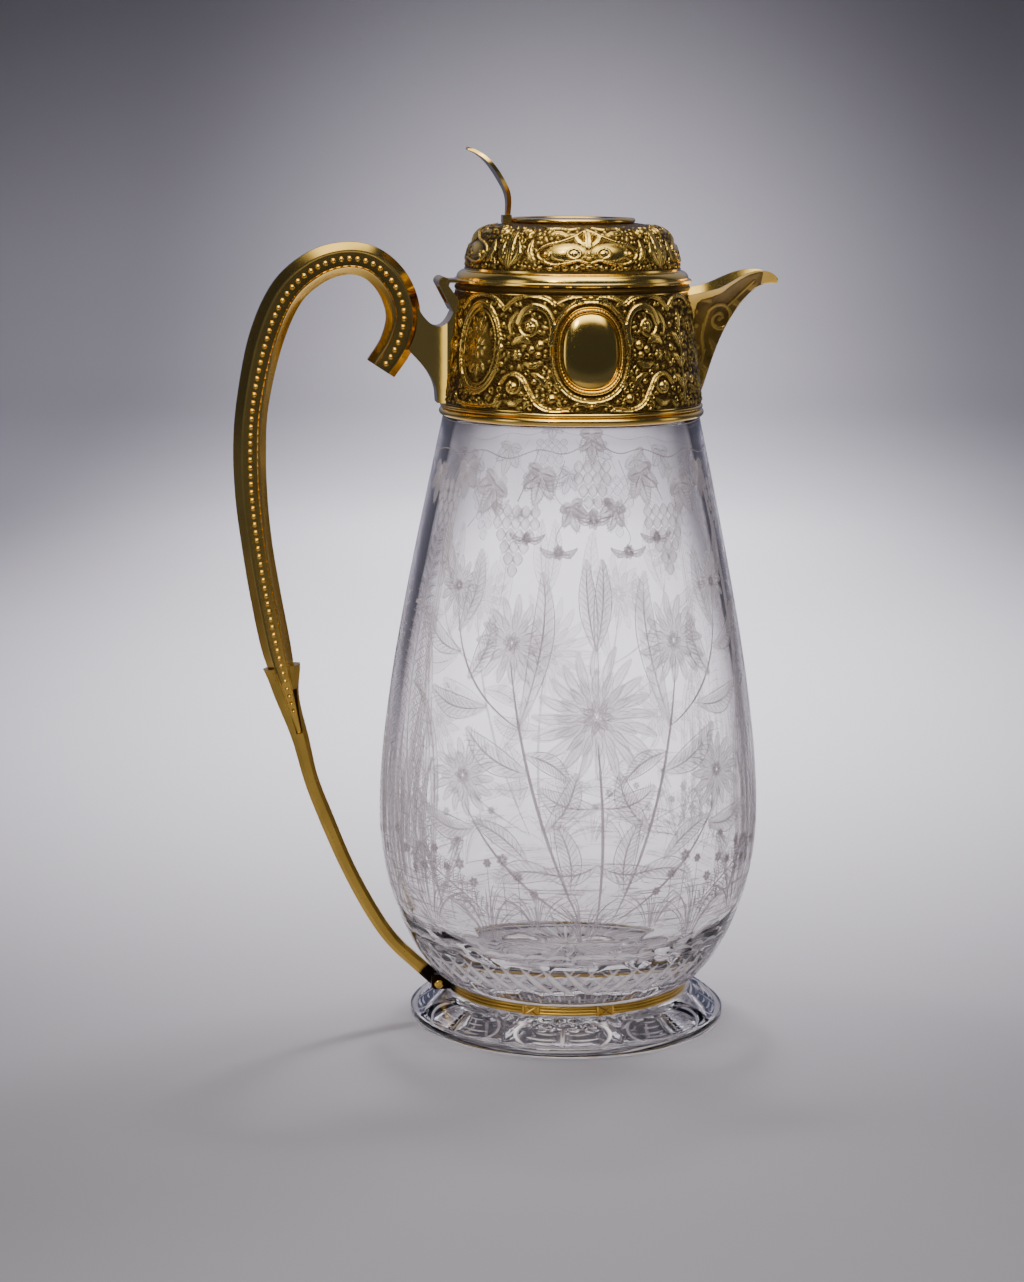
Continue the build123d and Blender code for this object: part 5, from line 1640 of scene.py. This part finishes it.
def make_camera(sizes):
    """Camera on a level circle round the axis, panned, tilted down and rolled by the given angles."""
    azimuth = sizes.camera_azimuth
    place = np.array([math.sin(azimuth) * sizes.camera_distance, -math.cos(azimuth) * sizes.camera_distance,
                      sizes.camera_height])
    turn = azimuth + sizes.camera_pan
    level = np.array([-math.sin(turn), math.cos(turn), 0.0])
    right = np.array([level[1], -level[0], 0.0])
    forward = level * math.cos(sizes.camera_tilt) + np.array([0, 0, -math.sin(sizes.camera_tilt)])
    up = np.cross(right, forward)
    c, s = math.cos(sizes.camera_roll), math.sin(sizes.camera_roll)
    matrix = np.eye(4)
    matrix[:3, 0], matrix[:3, 1] = c * right + s * up, -s * right + c * up
    matrix[:3, 2], matrix[:3, 3] = -forward, place
    camera = bpy.data.objects.new("camera", bpy.data.cameras.new("camera"))
    camera.data.lens = sizes.lens
    camera.data.sensor_width = 36.0
    camera.data.clip_start, camera.data.clip_end = 0.05, 20.0
    camera.matrix_world = Matrix(matrix.tolist())
    bpy.context.scene.collection.objects.link(camera)
    bpy.context.scene.camera = camera


# ---------------------------------------------------------------- operators
class JUG_OT_stage(bpy.types.Operator):
    """Adds the camera, the soft lights and the pale floor"""

    bl_idname = "jug.stage"
    bl_label = "Stage"

    def execute(self, context):
        make_camera(context.scene.jug_sizes)
        near = make_ground("pale_floor", [(r, PAPER) for r in (0.3, 150, 400, 640)])
        curve = [(r, PAPER) for r in (640, 1200, 1900)] + [(2250, 60), (2450, 300), (2500, 900), (2500, 2600)]
        sweep = make_ground("pale_sweep", smooth_path(curve, 90))
        for ground in (near, sweep):
            coat(ground, finish_for("pale_floor"))
        sweep.visible_glossy = False
        make_world()
        warm, rose, cool = (1.0, 0.985, 0.97), (1.0, 0.955, 0.95), (0.95, 0.94, 1.0)
        add_light("back_right_light", (0.95, 0.75, 0.95), (0, 0, 0.1), (0.45, 0.45), 9.0, warm)
        add_light("back_left_light", (-1.0, 0.7, 0.95), (0, 0, 0.1), (0.45, 0.45), 6.5, warm)
        add_light("pool_light", (0.08, 0.7, 1.5), (0.08, 0.68, 0), (0.15, 0.15), 258, (0.97, 0.955, 1.0),
                  "SPOT", 58)
        add_light("backdrop_light", (0.2, 0.9, 1.2), (0.22, 1.9, -0.15), (0.2, 0.2), 187, cool, "SPOT", 74)
        add_light("front_light", (-0.45, -1.5, 0.5), (0, 0, 0.13), (1.4, 0.7), 21, rose)
        return {"FINISHED"}


class JUG_OT_glass(bpy.types.Operator):
    """Makes the cut glass body, with painted refraction on its foot and in its base"""

    bl_idname = "jug.glass"
    bl_label = "Glass body"

    def execute(self, context):
        coat(make_glass(context.scene.jug_sizes), finish_for("clear_cut_glass"))
        coat(make_foot_lines(context.scene.jug_sizes), finish_for("polished_cuts_and_painted_refraction"))
        coat(make_star_lines(context.scene.jug_sizes), finish_for("wheel_engraving_and_painted_refraction"))
        return {"FINISHED"}


class JUG_OT_engraving(bpy.types.Operator):
    """Engraves ferns, a fruiting vine, flowers and grasses on the body, and paints refraction streaks round
    its base
    """

    bl_idname = "jug.engraving"
    bl_label = "Engraving"

    def execute(self, context):
        for piece in make_engraving(context.scene.jug_sizes):
            coat(piece, finish_for("wheel_engraving_and_painted_refraction"))
        return {"FINISHED"}


class JUG_OT_collar(bpy.types.Operator):
    """Makes the collar's chased skins, its cartouches and its mouldings"""

    bl_idname = "jug.collar"
    bl_label = "Collar"

    def execute(self, context):
        for piece in make_collar_skins(context.scene.jug_sizes):
            coat(piece, finish_for("chased_gilding"))
        for side in (-1, 1):
            coat(make_cartouche(side), finish_for("moulded_gilding"))
        coat(make_collar_base(), finish_for("polished_gilding"))
        coat_nodes("polished_gilding", "collar_band")
        # the collar's rim gets painted shade, for the shadow under the lid's flange
        coat_nodes("painted_shade_gilding", "collar_rim")
        coat_nodes("set_plaster", "neck_cement")
        return {"FINISHED"}


class JUG_OT_spout(bpy.types.Operator):
    """Gilds the spout"""

    bl_idname = "jug.spout"
    bl_label = "Spout"

    def execute(self, context):
        coat_nodes("worn_gilding", "spout")
        for side in (-1, 1):
            coat(make_spout_skin(side), finish_for("spout_gilding"))
        return {"FINISHED"}


class JUG_OT_handle(bpy.types.Operator):
    """Makes the beaded scroll handle with its bracket and sheath"""

    bl_idname = "jug.handle"
    bl_label = "Handle"

    def execute(self, context):
        coat(make_scroll(context.scene.jug_sizes), finish_for("moulded_gilding"))
        coat_nodes("polished_gilding", "handle_beads_front", "handle_beads_rear", "handle_bracket")
        coat_nodes("pivot_gilding", "handle_tail")
        return {"FINISHED"}


class JUG_OT_foot_ring(bpy.types.Operator):
    """Gilds the ring round the waist and its screw"""

    bl_idname = "jug.foot_ring"
    bl_label = "Foot ring"

    def execute(self, context):
        coat(make_ring_knots(), finish_for("polished_gilding"))
        coat_nodes("pivot_gilding", "foot_ring")
        coat_nodes("polished_gilding", "foot_pin", "foot_pin_nut")
        return {"FINISHED"}


class JUG_OT_lid(bpy.types.Operator):
    """Makes the chased lid with its mouldings, thumbpiece and hinge"""

    bl_idname = "jug.lid"
    bl_label = "Lid and hinge"

    def execute(self, context):
        coat(make_dome(context.scene.jug_sizes), finish_for("chased_gilding"))
        coat_nodes("polished_gilding", "lid_flange", "lid_disc", "thumbpiece")
        # the lid's bezel gets painted shade, for the shadow inside the collar
        coat_nodes("painted_shade_gilding", "lid_bezel")
        coat_nodes("worn_gilding", "hinge_ears", "hinge_pin", "hinge_finial", "lid_hinge_leaf")
        return {"FINISHED"}


class JUG_PT_panel(bpy.types.Panel):
    """Lists the jug's operators"""

    bl_label = "Claret jug"
    bl_idname = "JUG_PT_panel"
    bl_space_type = "VIEW_3D"
    bl_region_type = "UI"
    bl_category = "Claret jug"

    def draw(self, context):
        for operator in OPERATORS:
            self.layout.operator(operator.bl_idname)


OPERATORS = (JUG_OT_stage, JUG_OT_glass, JUG_OT_engraving, JUG_OT_collar, JUG_OT_spout, JUG_OT_handle,
             JUG_OT_foot_ring, JUG_OT_lid)
CLASSES = (JugSizes, JugColours, *OPERATORS, JUG_PT_panel)


def register():
    for cls in CLASSES:
        bpy.utils.register_class(cls)
    bpy.types.Scene.jug_sizes = PointerProperty(type=JugSizes)
    bpy.types.Scene.jug_colours = PointerProperty(type=JugColours)


def unregister():
    del bpy.types.Scene.jug_colours
    del bpy.types.Scene.jug_sizes
    for cls in reversed(CLASSES):
        bpy.utils.unregister_class(cls)


def main():
    register()
    bpy.ops.jug.stage()
    bpy.ops.jug.glass()
    bpy.ops.jug.engraving()
    bpy.ops.jug.collar()
    bpy.ops.jug.spout()
    bpy.ops.jug.handle()
    bpy.ops.jug.foot_ring()
    bpy.ops.jug.lid()


if __name__ == "__main__":
    main()
